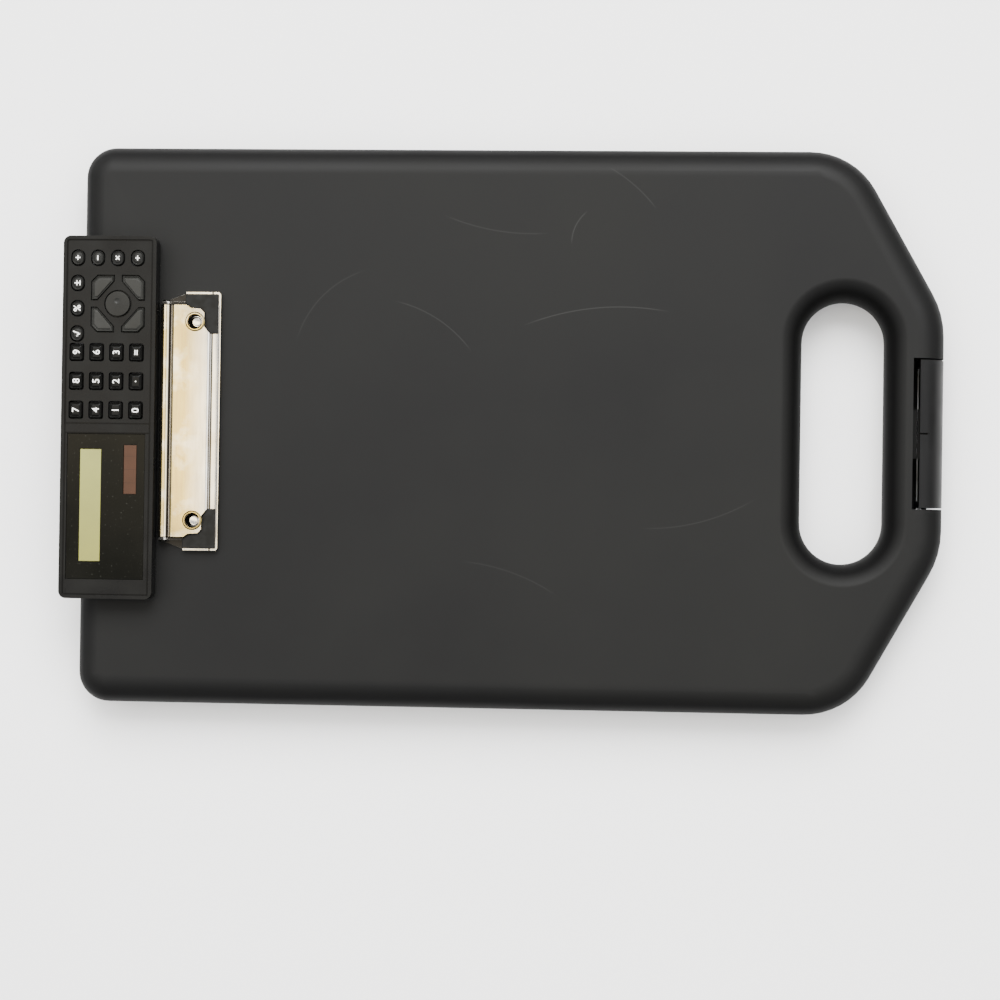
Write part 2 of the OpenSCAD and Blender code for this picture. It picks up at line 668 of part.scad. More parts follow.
// keys: plan outlines; legends are left to the finish
key_shift = -0.9;                        // from the calculator's middle to the keys' middle
key_w = 6.1;
key_l = 7.6;
key_corner = 0.9;
oval_w = 5.8;
oval_l = 6.9;
oval_corner = 2.7;
dial_r = 5.9;
cluster = [3.9, 51.1];
cluster_w = 24;
cluster_l = 25.4;
first_row_y = 3.2;
oval_start = 37.5;
oval_pitch = 11.4;
flange_w = 0.7;
flange_t = 0.6;
function key_x(row) = key_shift + (row - 1.5) * key_pitch_x;
function pad_at(row, column) = [key_x(row), first_row_y + column * key_pitch_y];
function oval_at(row, column) = [key_x(row), oval_start + column * oval_pitch];
module pad_plan(grow) round_rect(key_w + 2 * grow, key_l + 2 * grow, key_corner + grow);
module oval_plan(grow) round_rect(oval_w + 2 * grow, oval_l + 2 * grow, oval_corner + grow);
module dial_plan(grow) circle(r = dial_r + grow);
// flange that holds a straight-sided key down: it stands out at the two ends of the plan only
module end_flange(w, l, corner) square([w + 2 * flange_w, l - 2 * corner], center = true);
wedge_w = 10.1;
wedge_l = 11;
wedge_cut = 2.7;
wedge_tip = 2.4;
// corner key of the cluster: a right triangle with its three tips cut off
module wedge_plan(grow)
    translate([-cluster_w / 2, cluster_l / 2]) offset(delta = grow) polygon([
        [0, -wedge_cut], [wedge_cut, 0], [wedge_w, 0],
        [wedge_w, -wedge_tip], [wedge_tip, -wedge_l], [0, -wedge_l]]);
module wedge_set(grow, sx, sy) translate(cluster) mirror([sx, 0]) mirror([0, sy]) wedge_plan(grow);
module key_holes(grow) {
    for (row = [0 : 3], column = [0 : 2]) translate(pad_at(row, column)) pad_plan(grow);
    for (row = [0 : 3]) translate(oval_at(row, 3)) oval_plan(grow);
    for (column = [0 : 2]) translate(oval_at(0, column)) oval_plan(grow);
    translate(cluster) dial_plan(grow);
    for (sx = [0, 1], sy = [0, 1]) wedge_set(grow, sx, sy);
}
flange_z = plate_z - 0.1 - flange_t;
stem_z = flange_z - 0.2;
module key_body() {
    translate([0, 0, stem_z]) linear_extrude(face_z + key_rise - stem_z) children(0);
    translate([0, 0, flange_z]) linear_extrude(flange_t) children(1);
}
module pad_key(row, column) color(key_colour) at_calc() translate(pad_at(row, column))
    key_body() { pad_plan(0); end_flange(key_w, key_l, key_corner); }
module oval_key(row, column) color(key_colour) at_calc() translate(oval_at(row, column))
    key_body() { oval_plan(0); end_flange(oval_w, oval_l, oval_corner); }
module wedge_key(sx, sy) color(key_colour) at_calc()
    key_body() { wedge_set(0, sx, sy); wedge_set(flange_w, sx, sy); }
module key_7() pad_key(0, 0);
module key_8() pad_key(0, 1);
module key_9() pad_key(0, 2);
module key_4() pad_key(1, 0);
module key_5() pad_key(1, 1);
module key_6() pad_key(1, 2);
module key_1() pad_key(2, 0);
module key_2() pad_key(2, 1);
module key_3() pad_key(2, 2);
module key_0() pad_key(3, 0);
module key_point() pad_key(3, 1);
module key_equals() pad_key(3, 2);
module key_root() oval_key(0, 0);
module key_percent() oval_key(0, 1);
module key_sign() oval_key(0, 2);
module key_clear() oval_key(0, 3);
module key_recall() oval_key(1, 3);
module key_store() oval_key(2, 3);
module key_erase() oval_key(3, 3);
module key_add() wedge_key(0, 0);
module key_subtract() wedge_key(0, 1);
module key_multiply() wedge_key(1, 0);
module key_divide() wedge_key(1, 1);
dimple_r = 3;
dimple_depth = 0.4;
dimple_place = [-0.3, 1.4];
module key_centre() color(key_colour) at_calc() translate(cluster) difference() {
    key_body() { dial_plan(0); dial_plan(flange_w); }
    at_plan(dimple_place, face_z + key_rise + dimple_r - dimple_depth) sphere(r = dimple_r);
}

module screen_openings(z) {
    at_plan(lcd_place, z) slab_plan(lcd_size + 2 * screen_fit * [1, 1], calc_front_h);
    at_plan(solar_place, z) slab_plan(solar_size + 2 * screen_fit * [1, 1], calc_front_h);
}
module calc_front_case() color(black_colour) at_calc()
    difference() {
        union() {
            translate([0, 0, calc_back_h]) difference() {
                linear_extrude(calc_front_h) round_rect(calc_w, calc_l, calc_corner);
                translate([0, 0, -cut]) linear_extrude(calc_front_h - calc_wall + cut)
                    round_rect(2 * calc_in_w, 2 * calc_in_l, calc_corner - calc_wall);
            }
            calc_screw_places() translate([0, 0, calc_back_h])
                cylinder(r = screw_boss_r, h = calc_front_h - calc_wall / 2);
            translate([0, 0, plate_z]) linear_extrude(calc_wall + rim_h) difference() {
                round_rect(calc_w, calc_l, calc_corner);
                round_rect(calc_w - 2 * rim_w, calc_l - 2 * rim_w, calc_corner - rim_w);
            }
            translate([0, 0, plate_z]) linear_extrude(calc_wall + panel_rise)
                translate([rim_w / 2 - calc_w / 2, rim_w - calc_l / 2])
                    square([calc_w - rim_w, panel_top + calc_l / 2 - rim_w]);
        }
        translate([0, 0, plate_z - cut]) linear_extrude(calc_front_h) key_holes(key_gap);
        at_plan(window_place, pocket_z) slab_plan([window_w, window_l] + screen_fit * [1, 1], calc_front_h);
        screen_openings(plate_z - cut);
        calc_screw_places() translate([0, 0, calc_back_h - cut])
            cylinder(r = case_screw_r + run_fit, h = calc_front_h - calc_wall + cut);
    }
module calc_window() color(black_colour) at_calc() difference() {
    at_plan(window_place, pocket_z + seat_gap) slab_plan([window_w, window_l], window_t);
    screen_openings(pocket_z);
}
// a slab under the face with a raised middle that fills its opening
module display(place, size, frame, t) at_calc() {
    at_plan(place, plate_z - 0.1 - t) slab_plan(size + 2 * [frame, frame], t);
    at_plan(place, plate_z - t / 2) slab_plan(size, screen_z - plate_z + t / 2);
}
module calc_lcd() color("#b9bb93") display(lcd_place, lcd_size, lcd_frame, lcd_t);
module calc_solar_cell() color("#704b3c") display(solar_place, solar_size, solar_frame, solar_t);

// circuit board with the rubber keypad mat on it
pcb_t = 1.2;
pcb_z = calc_back_h - 1.6;
pcb_size = [32.4, 86];
pcb_y = 36;
mat_t = 0.6;
mat_inset = 3;
dome_r = 2;
dome_gap = 0.3;
dome_h = stem_z - key_travel - dome_gap - pcb_z - pcb_t - mat_t;
wedge_dome = [8.4, 8.9];
module calc_pcb() color("#2f5f3a") at_calc() at_plan([0, pcb_y], pcb_z) slab_plan(pcb_size, pcb_t);
module calc_keypad_mat() color("#55555a") at_calc() {
    at_plan([0, pcb_y + mat_inset], pcb_z + pcb_t + seat_gap)
        slab_plan([pcb_size.x, pcb_size.y - 2 * mat_inset], mat_t);
    translate([0, 0, pcb_z + pcb_t + mat_t]) linear_extrude(max(dome_h, 0.1)) {
        for (row = [0 : 3], column = [0 : 2]) translate(pad_at(row, column)) circle(r = dome_r);
        for (row = [0 : 3]) translate(oval_at(row, 3)) circle(r = dome_r);
        for (column = [0 : 2]) translate(oval_at(0, column)) circle(r = dome_r);
        translate(cluster) circle(r = dome_r);
        for (x = [-1, 1], y = [-1, 1])
            translate(cluster + [x * wedge_dome.x, y * wedge_dome.y]) circle(r = dome_r * 0.8);
    }
}
contact_t = 0.2;
contact_w = 4;
contact_foot = 5;
contact_lap = 1.2;         // how far the contact's foot stands in from the board's edge
module calc_battery_contact() color(steel_colour) at_calc()
    translate([cell_x - contact_w / 2, 0, 0]) {
        contact_z = door_t + cell_h + 2 * seat_gap;
        pcb_top = pcb_z + pcb_t + seat_gap;
        pcb_edge = pcb_y - pcb_size.y / 2;
        translate([0, cell_y - contact_w / 2, contact_z])
            cube([contact_w, pcb_edge - cell_y + contact_w / 2 - contact_lap + contact_t, contact_t]);
        translate([0, pcb_edge - contact_lap, min(contact_z, pcb_top)])
            cube([contact_w, contact_t, abs(pcb_top - contact_z) + contact_t]);
        translate([0, pcb_edge - contact_lap, pcb_top]) cube([contact_w, contact_foot, contact_t]);
    }
case_screw_grip = 1.6;     // how far a screw reaches into the front half
module calc_screws() color(steel_colour) at_calc() calc_screw_places() {
    translate([0, 0, seat_gap]) cylinder(r = case_head_r, h = case_head_h - 2 * seat_gap);
    translate([0, 0, 2 * seat_gap]) cylinder(r = case_screw_r, h = calc_back_h + case_screw_grip);
}

base_shell();
lid_shell();
hinge_pin();
latch();
latch_pin();
clip_base();
clip_jaw();
clip_rod();
clip_spring();
clip_grips();
clip_rivets();
clip_washers();
calc_bracket();
bracket_screws();
adhesive_pads();
calc_back_case();
calc_front_case();
calc_window();
calc_lcd();
calc_solar_cell();
calc_pcb();
calc_keypad_mat();
calc_battery();
calc_battery_contact();
calc_battery_door();
calc_screws();
key_7();
key_8();
key_9();
key_4();
key_5();
key_6();
key_1();
key_2();
key_3();
key_0();
key_point();
key_equals();
key_root();
key_percent();
key_sign();
key_clear();
key_recall();
key_store();
key_erase();
key_add();
key_subtract();
key_multiply();
key_divide();
key_centre();
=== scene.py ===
"""Storage clipboard box: finishes, moulded edges, legends and stage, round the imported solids."""

import json
import math
from contextlib import contextmanager

import bmesh
import bpy
from bpy.props import FloatProperty, FloatVectorProperty, PointerProperty
from mathutils import Matrix, Vector


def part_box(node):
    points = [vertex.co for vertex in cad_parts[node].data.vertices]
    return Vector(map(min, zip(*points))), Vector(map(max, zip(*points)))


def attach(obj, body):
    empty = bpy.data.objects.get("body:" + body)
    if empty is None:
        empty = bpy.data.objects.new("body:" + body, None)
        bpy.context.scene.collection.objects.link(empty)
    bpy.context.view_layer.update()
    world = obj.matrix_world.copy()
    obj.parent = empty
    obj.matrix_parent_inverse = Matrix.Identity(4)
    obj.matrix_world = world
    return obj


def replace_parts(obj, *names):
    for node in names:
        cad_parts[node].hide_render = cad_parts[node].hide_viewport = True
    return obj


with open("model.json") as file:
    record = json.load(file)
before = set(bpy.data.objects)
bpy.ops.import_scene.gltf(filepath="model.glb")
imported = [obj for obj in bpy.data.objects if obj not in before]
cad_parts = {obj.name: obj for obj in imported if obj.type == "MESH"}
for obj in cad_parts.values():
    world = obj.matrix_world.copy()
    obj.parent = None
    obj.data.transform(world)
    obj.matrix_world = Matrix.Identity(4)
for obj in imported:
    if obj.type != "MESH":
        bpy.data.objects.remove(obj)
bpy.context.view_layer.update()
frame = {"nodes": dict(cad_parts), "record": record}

bl_info = {
    "name": "Storage clipboard box",
    "version": (1, 0, 0),
    "blender": (4, 5, 0),
    "location": "View3D > Sidebar > Clipboard Box",
    "description": "Gives a storage clipboard box its finishes, edges, legends and stage",
    "category": "Object",
}

NODES = frame["nodes"]
RECORD = frame["record"]
BODY_OF = {node: body for body, nodes in RECORD["behaviour"]["bodies"].items() for node in nodes}
MM = 0.001
SAME_POINT = 1e-6            # corners closer than this, in metres, are one corner
FLAT = math.radians(0.4)     # faces that turn less than this are one flat face
SHARP = math.radians(32)     # edges that turn more than this are rounded or stay sharp


# ---------------------------------------------------------------- nodes and colours

def linear(code):
    """An sRGB hex colour as linear red, green, blue and alpha."""
    parts = [int(code[i:i + 2], 16) / 255 for i in (1, 3, 5)]
    return (*(c / 12.92 if c <= 0.04045 else ((c + 0.055) / 1.055) ** 2.4 for c in parts), 1.0)


def put(tree, kind, inputs=None, **settings):
    """Adds a node with its settings and links.

    An input is named, or numbered where names repeat: 0 and 1 are what a Math node works on, and a
    Map Range takes 0, which lies between 1 and 2, to between 3 and 4. It is given a value, a
    socket, or a node, whose first live output is used.
    """
    node = tree.nodes.new(kind)
    for key, value in settings.items():
        setattr(node, key, value)
    for key, value in (inputs or {}).items():
        if isinstance(key, int):
            socket = node.inputs[key]
        else:
            socket = next(entry for entry in node.inputs if entry.name == key and entry.enabled)
        if isinstance(value, bpy.types.Node):
            value = next(output for output in value.outputs if output.enabled)
        if isinstance(value, bpy.types.NodeSocket):
            tree.links.new(value, socket)
        else:
            socket.default_value = value
    return node


def material(name):
    """An empty node material; gives the material, its tree and the place on the piece."""
    made = bpy.data.materials.new(name)
    made.use_nodes = True
    tree = made.node_tree
    tree.nodes.clear()
    return made, tree, put(tree, "ShaderNodeTexCoord").outputs["Object"]


def per_mm(size):
    """The texture scale that gives features of this size in millimetres."""
    return 1 / (size * MM)


def band(tree, place, middle, half, soft):
    """How far a coordinate lies inside a band with soft edges, from 0 to 1; lengths in metres."""
    away = put(tree, "ShaderNodeMath", {0: place, 1: middle}, operation="SUBTRACT")
    away = put(tree, "ShaderNodeMath", {0: away}, operation="ABSOLUTE")
    return put(tree, "ShaderNodeMapRange", {0: away, 1: half, 2: half + soft, 3: 1.0, 4: 0.0})


# ---------------------------------------------------------------- materials

# hair scratches on the lid, in millimetres: start, end and bow, then how strongly each one shows
SCRATCHES = (
    ((6, 46), (73, 53), 5.0, 0.30), ((-52, 57), (-16, 34), 4.0, 0.22),
    ((-30, 96), (18, 88), -3.0, 0.18), ((28, 83), (35, 98), 2.0, 0.30),
    ((44, 118), (66, 99), 1.5, 0.20), ((-96, 38), (-64, 71), 6.0, 0.16),
    ((60, -44), (112, -30), -4.0, 0.16), ((-20, -60), (24, -75), 3.0, 0.14))
SCRATCH_SPREAD = 0.38        # from its middle to where it ends, in millimetres
SCRATCH_FADE = 0.12          # arch height from which a scratch shows in full


def hairline(tree, vector, start, end, bow):
    """How much a curved scratch shows, from 0 to 1: it joins two points and fades at both."""
    run = Vector(end) - Vector(start)
    along = put(tree, "ShaderNodeMapping", {
        "Vector": vector, "Location": (start[0] * MM, start[1] * MM, 0.0),
        "Rotation": (0.0, 0.0, math.atan2(run.y, run.x)), "Scale": (run.length * MM, MM, 1.0)},
        vector_type="TEXTURE")
    axes = put(tree, "ShaderNodeSeparateXYZ", {0: along})
    part, offset = axes.outputs["X"], axes.outputs["Y"]
    rest = put(tree, "ShaderNodeMath", {0: 1.0, 1: part}, operation="SUBTRACT")
    # the arch is a quarter high at its middle, so four times the bow gives the curve its height
    arch = put(tree, "ShaderNodeMath", {0: part, 1: rest}, operation="MULTIPLY")
    curve = put(tree, "ShaderNodeMath", {0: arch, 1: 4.0 * bow}, operation="MULTIPLY")
    gap = put(tree, "ShaderNodeMath", {0: offset, 1: curve}, operation="SUBTRACT")
    away = put(tree, "ShaderNodeMath", {0: gap}, operation="ABSOLUTE")
    line = put(tree, "ShaderNodeMapRange", {0: away, 1: 0.0, 2: SCRATCH_SPREAD, 3: 1.0, 4: 0.0})
    fade = put(tree, "ShaderNodeMapRange", {0: arch, 1: 0.0, 2: SCRATCH_FADE})
    return put(tree, "ShaderNodeMath", {0: line, 1: fade}, operation="MULTIPLY")


def moulded_polypropylene(look):
    """Polypropylene, injection moulded with a spark-eroded grain: a soft even sheen, greyer where
    hands and papers have rubbed its flat faces, with pale hair scratches on the lid, and painted
    darker with less shine, as shade, on faces that turn away from upward."""
    made, tree, place = material("moulded_polypropylene")
    handled = put(tree, "ShaderNodeTexNoise", {"Vector": place, "Scale": per_mm(90), "Detail": 4.0})
    rubbed = put(tree, "ShaderNodeMapRange", {0: handled, 1: 0.35, 2: 0.7})
    tone = put(tree, "ShaderNodeMix", {
        "Factor": rubbed, "A": look.case_colour, "B": look.case_rubbed}, data_type="RGBA")
    marks = None
    for start, end, bow, strength in SCRATCHES:
        line = hairline(tree, place, start, end, bow)
        shown = strength * look.scratches
        faint = put(tree, "ShaderNodeMath", {0: line, 1: shown}, operation="MULTIPLY")
        if marks:
            marks = put(tree, "ShaderNodeMath", {0: marks, 1: faint}, operation="MAXIMUM")
        else:
            marks = faint
    facing = put(tree, "ShaderNodeNewGeometry").outputs["Normal"]
    up = put(tree, "ShaderNodeSeparateXYZ", {0: facing}).outputs["Z"]
    lid_only = put(tree, "ShaderNodeMapRange", {0: up, 1: 0.9, 2: 0.97})
    marks = put(tree, "ShaderNodeMath", {0: marks, 1: lid_only}, operation="MULTIPLY")
    # painted shade: faces that turn away from upward are painted darker, towards #0a0a0a, and given
    # less shine
    level = put(tree, "ShaderNodeMapRange", {0: up, 1: 0.72, 2: 0.99})
    tone = put(tree, "ShaderNodeMix", {
        "Factor": level, "A": linear("#0a0a0a"), "B": tone}, data_type="RGBA")
    tone = put(tree, "ShaderNodeMix", {
        "Factor": marks, "A": tone, "B": linear("#3c3c3b")}, data_type="RGBA")
    shine = put(tree, "ShaderNodeMapRange", {0: level, 3: 0.04, 4: 0.12})
    sheen = put(tree, "ShaderNodeMapRange", {0: handled, 1: 0.3, 2: 0.7, 3: 0.50, 4: 0.58})
    # the grain is about 0.1 mm across, and is drawn at 0.5 mm, the finest that the render shows
    grain = put(tree, "ShaderNodeTexNoise", {"Vector": place, "Scale": per_mm(0.5), "Detail": 1.0})
    relief = put(tree, "ShaderNodeBump", {"Height": grain, "Strength": 0.3, "Distance": 0.02 * MM})
    shader = put(tree, "ShaderNodeBsdfPrincipled", {
        "Base Color": tone, "Roughness": sheen, "IOR": 1.49, "Specular IOR Level": shine,
        "Normal": relief})
    put(tree, "ShaderNodeOutputMaterial", {"Surface": shader})
    return made


def moulded_abs(name, colour, worn, roughness, shine, painted_shade_lines=()):
    """ABS, injection moulded in a satin tool: a tighter sheen than the case's plastic, a little
    paler where fingers have polished it, and with narrow black lines of painted shade. A line is
    given by the axis that it crosses and where, then by the axis that it follows, its middle and
    half length."""
    made, tree, place = material(name)
    axes = put(tree, "ShaderNodeSeparateXYZ", {0: place}).outputs
    touch = put(tree, "ShaderNodeTexNoise", {"Vector": place, "Scale": per_mm(12), "Detail": 4.0})
    tone = put(tree, "ShaderNodeMapRange", {0: touch, 1: 0.35, 2: 0.7})
    tone = put(tree, "ShaderNodeMix", {"Factor": tone, "A": colour, "B": worn}, data_type="RGBA")
    # painted shade: narrow lines painted near-black, inside the face's rim and across it, where a
    # groove would lie in shade
    for axis, where, other, middle, reach in painted_shade_lines:
        across = band(tree, axes[axis], where, 0.15 * MM, 0.35 * MM)
        along = band(tree, axes[other], middle, reach, 0.3 * MM)
        painted_shade_line = put(tree, "ShaderNodeMath", {0: across, 1: along}, operation="MULTIPLY")
        tone = put(tree, "ShaderNodeMix", {
            "Factor": painted_shade_line, "A": tone, "B": linear("#020202")}, data_type="RGBA")
    sheen = put(tree, "ShaderNodeMapRange", {
        0: touch, 1: 0.3, 2: 0.7, 3: roughness - 0.05, 4: roughness + 0.05})
    grain = put(tree, "ShaderNodeTexNoise", {"Vector": place, "Scale": per_mm(0.35), "Detail": 1.0})
    relief = put(tree, "ShaderNodeBump", {"Height": grain, "Strength": 0.25, "Distance": 0.02 * MM})
    shader = put(tree, "ShaderNodeBsdfPrincipled", {
        "Base Color": tone, "Roughness": sheen, "IOR": 1.53, "Specular IOR Level": shine,
        "Normal": relief})
    put(tree, "ShaderNodeOutputMaterial", {"Surface": shader})
    return made


def polished_acrylic():
    """Acrylic window, printed black behind: mirror smooth, with lint and a few wiping marks."""
    made, tree, place = material("polished_acrylic")
    lint = put(tree, "ShaderNodeTexNoise", {"Vector": place, "Scale": per_mm(0.8), "Detail": 0.0})
    specks = put(tree, "ShaderNodeMapRange", {0: lint, 1: 0.76, 2: 0.82, 3: 0.0, 4: 0.25})
    film = put(tree, "ShaderNodeTexNoise", {"Vector": place, "Scale": per_mm(25), "Detail": 3.0})
    tone = put(tree, "ShaderNodeMix", {
        "Factor": film, "A": linear("#080806"), "B": linear("#0b0b08")}, data_type="RGBA")
    tone = put(tree, "ShaderNodeMix", {
        "Factor": specks, "A": tone, "B": linear("#4a4a44")}, data_type="RGBA")
    wiped = put(tree, "ShaderNodeMapRange", {0: film, 1: 0.3, 2: 0.7, 3: 0.10, 4: 0.22})
    shader = put(tree, "ShaderNodeBsdfPrincipled", {
        "Base Color": tone, "Roughness": wiped, "IOR": 1.49, "Specular IOR Level": 0.08})
    put(tree, "ShaderNodeOutputMaterial", {"Surface": shader})
    return made


# folds of the clip, each with painted shade along it, in millimetres: distance behind its front,
# half width and soft edge, then how dark each one is
FOLDS = ((22.5, 0.45, 0.4, 1.0), (20.9, 0.15, 0.25, 0.97), (3.65, 0.2, 0.3, 0.98))


def nickel_plate(colour, worn):
    """Spring steel, stamped, nickel plated and buffed: bright, with soft waves where the sheet was
    drawn, fine lines along the clip from the buffing wheel, yellower on its top with paler patches
    there, and with painted shade along its folds."""
    made, tree, place = material("nickel_plate")
    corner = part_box("clip_jaw")[1]
    axes = put(tree, "ShaderNodeSeparateXYZ", {0: place}).outputs
    stain = put(tree, "ShaderNodeTexNoise", {"Vector": place, "Scale": per_mm(13), "Detail": 5.0})
    aged = put(tree, "ShaderNodeMapRange", {0: stain, 1: 0.45, 2: 0.75, 3: 0.0, 4: 0.6})
    tone = put(tree, "ShaderNodeMix", {
        "Factor": aged, "A": colour, "B": linear("#b5a27f")}, data_type="RGBA")
    pale_top_patches = put(tree, "ShaderNodeMapRange", {0: stain, 1: 0.52, 2: 0.64, 3: 0.0, 4: 0.75})
    top_tone = put(tree, "ShaderNodeMix", {
        "Factor": pale_top_patches, "A": worn, "B": linear("#ebe3cb")}, data_type="RGBA")
    # the top of the jaw, picked out by height, is coloured yellower, with paler patches
    handled = put(tree, "ShaderNodeMapRange", {
        0: axes["Z"], 1: corner.z - 1.0 * MM, 2: corner.z - 0.3 * MM})
    tone = put(tree, "ShaderNodeMix", {
        "Factor": handled, "A": tone, "B": top_tone}, data_type="RGBA")
    # painted shade: each fold is painted dark, towards #16130f, where shade falls in the crease
    for back, half, soft, depth in FOLDS:
        fold = band(tree, axes["X"], corner.x - back * MM, half * MM, soft * MM)
        fold_shade = put(tree, "ShaderNodeMath", {0: fold, 1: depth}, operation="MULTIPLY")
        tone = put(tree, "ShaderNodeMix", {
            "Factor": fold_shade, "A": tone, "B": linear("#16130f")}, data_type="RGBA")
    stretched = put(tree, "ShaderNodeMapping", {"Vector": place, "Scale": (1.0, 0.06, 1.0)})
    lines = put(tree, "ShaderNodeTexNoise", {
        "Vector": stretched, "Scale": per_mm(0.8), "Detail": 3.0})
    sheen = put(tree, "ShaderNodeMapRange", {0: lines, 1: 0.3, 2: 0.7, 3: 0.12, 4: 0.2})
    waves = put(tree, "ShaderNodeTexNoise", {"Vector": place, "Scale": per_mm(17), "Detail": 1.0})
    relief = put(tree, "ShaderNodeBump", {"Height": waves, "Strength": 0.35, "Distance": 0.3 * MM})
    shader = put(tree, "ShaderNodeBsdfPrincipled", {
        "Base Color": tone, "Metallic": 1.0, "Roughness": sheen, "Normal": relief})
    put(tree, "ShaderNodeOutputMaterial", {"Surface": shader})
    return made


def shaded_nickel():
    """Nickel plate with painted light: dark grey on its flat faces, painted as the shade that the
    jaw casts on them, and with a bright painted highlight on its edges.
    """
    made, tree, place = material("nickel_with_painted_shade")
    facing = put(tree, "ShaderNodeNewGeometry").outputs["Normal"]
    up = put(tree, "ShaderNodeSeparateXYZ", {0: facing}).outputs["Z"]
    flat = put(tree, "ShaderNodeMapRange", {0: up, 1: 0.80, 2: 0.97})
    stain = put(tree, "ShaderNodeTexNoise", {"Vector": place, "Scale": per_mm(6), "Detail": 4.0})
    painted_shade_tone = put(tree, "ShaderNodeMix", {
        "Factor": stain, "A": linear("#1c1b1a"), "B": linear("#33312e")}, data_type="RGBA")
    # faces that look up get the painted shade, the rest a painted highlight of #f2eee6
    tone = put(tree, "ShaderNodeMix", {
        "Factor": flat, "A": linear("#f2eee6"), "B": painted_shade_tone}, data_type="RGBA")
    sheen = put(tree, "ShaderNodeMapRange", {0: stain, 1: 0.3, 2: 0.7, 3: 0.28, 4: 0.4})
    shader = put(tree, "ShaderNodeBsdfPrincipled", {
        "Base Color": tone, "Metallic": 1.0, "Roughness": sheen})
    put(tree, "ShaderNodeOutputMaterial", {"Surface": shader})
    return made


def drawn_steel(name, low, high):
    """Steel wire, pins and screws, zinc plated or blackened: satin, with faint drawing lines."""
    made, tree, place = material(name)
    lines = put(tree, "ShaderNodeTexNoise", {"Vector": place, "Scale": per_mm(0.7), "Detail": 4.0})
    tone = put(tree, "ShaderNodeMix", {
        "Factor": lines, "A": linear(low), "B": linear(high)}, data_type="RGBA")
    sheen = put(tree, "ShaderNodeMapRange", {0: lines, 1: 0.3, 2: 0.7, 3: 0.26, 4: 0.38})
    shader = put(tree, "ShaderNodeBsdfPrincipled", {
        "Base Color": tone, "Metallic": 1.0, "Roughness": sheen})
    put(tree, "ShaderNodeOutputMaterial", {"Surface": shader})
    return made


def moulded_rubber(name, colour, bloom):
    """Rubber, compression moulded: hardly any gloss, with the dusty bloom that rubber gets."""
    made, tree, place = material(name)
    dust = put(tree, "ShaderNodeTexNoise", {"Vector": place, "Scale": per_mm(3), "Detail": 5.0})
    soft = put(tree, "ShaderNodeMapRange", {0: dust, 1: 0.4, 2: 0.75})
    tone = put(tree, "ShaderNodeMix", {"Factor": soft, "A": colour, "B": bloom}, data_type="RGBA")
    sheen = put(tree, "ShaderNodeMapRange", {0: dust, 1: 0.3, 2: 0.7, 3: 0.3, 4: 0.45})
    shader = put(tree, "ShaderNodeBsdfPrincipled", {
        "Base Color": tone, "Roughness": sheen, "IOR": 1.52, "Specular IOR Level": 0.11})
    put(tree, "ShaderNodeOutputMaterial", {"Surface": shader})
    return made


def polariser_film():
    """Liquid-crystal display under its polariser: pale yellow-green, clouded in places, and
    painted paler along its length towards the window light.
    """
    made, tree, place = material("polariser_film")
    low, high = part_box("calc_lcd")
    axes = put(tree, "ShaderNodeSeparateXYZ", {0: place}).outputs
    # painted light: the film is painted paler along its length towards the window light
    along = put(tree, "ShaderNodeMapRange", {0: axes["Y"], 1: low.y, 2: high.y})
    tone = put(tree, "ShaderNodeMix", {
        "Factor": along, "A": linear("#7c7b3e"), "B": linear("#85864c")}, data_type="RGBA")
    cloud = put(tree, "ShaderNodeTexNoise", {"Vector": place, "Scale": per_mm(15), "Detail": 2.0})
    haze = put(tree, "ShaderNodeMapRange", {0: cloud, 1: 0.4, 2: 0.7, 3: 0.0, 4: 0.4})
    tone = put(tree, "ShaderNodeMix", {
        "Factor": haze, "A": tone, "B": linear("#747342")}, data_type="RGBA")
    shader = put(tree, "ShaderNodeBsdfPrincipled", {
        "Base Color": tone, "Roughness": 0.25, "Specular IOR Level": 0.2})
    put(tree, "ShaderNodeOutputMaterial", {"Surface": shader})
    return made


CELLS = 4                    # strips of the solar cell


def amorphous_silicon():
    """Solar cell of amorphous silicon on glass: red-brown strips with dark gaps between them."""
    made, tree, place = material("amorphous_silicon")
    low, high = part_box("calc_solar_cell")
    axes = put(tree, "ShaderNodeSeparateXYZ", {0: place}).outputs
    strip = put(tree, "ShaderNodeMapRange", {
        0: axes["Y"], 1: low.y, 2: high.y, 3: 0.0, 4: float(CELLS)})
    inside = put(tree, "ShaderNodeMath", {0: strip}, operation="FRACT")
    middle = put(tree, "ShaderNodeMath", {0: inside, 1: 0.5}, operation="SUBTRACT")
    away = put(tree, "ShaderNodeMath", {0: middle}, operation="ABSOLUTE")
    gap = put(tree, "ShaderNodeMapRange", {0: away, 1: 0.47, 2: 0.49, 3: 0.0, 4: 0.6})
    mottle = put(tree, "ShaderNodeTexNoise", {"Vector": place, "Scale": per_mm(8), "Detail": 2.0})
    tone = put(tree, "ShaderNodeMix", {
        "Factor": mottle, "A": linear("#2f1c11"), "B": linear("#3c2519")}, data_type="RGBA")
    tone = put(tree, "ShaderNodeMix", {
        "Factor": gap, "A": tone, "B": linear("#1c100b")}, data_type="RGBA")
    shader = put(tree, "ShaderNodeBsdfPrincipled", {
        "Base Color": tone, "Roughness": 0.3, "Specular IOR Level": 0.2})
    put(tree, "ShaderNodeOutputMaterial", {"Surface": shader})
    return made


def solder_mask():
    """Glass-fibre board under green solder mask: glossy, with the weave just showing."""
    made, tree, place = material("solder_mask")
    weave = put(tree, "ShaderNodeTexWave", {
        "Vector": place, "Scale": per_mm(1.2), "Distortion": 1.0}).outputs["Fac"]
    tone = put(tree, "ShaderNodeMix", {
        "Factor": weave, "A": linear("#1d5a33"), "B": linear("#266740")}, data_type="RGBA")
    shader = put(tree, "ShaderNodeBsdfPrincipled", {
        "Base Color": tone, "Roughness": 0.3})
    put(tree, "ShaderNodeOutputMaterial", {"Surface": shader})
    return made


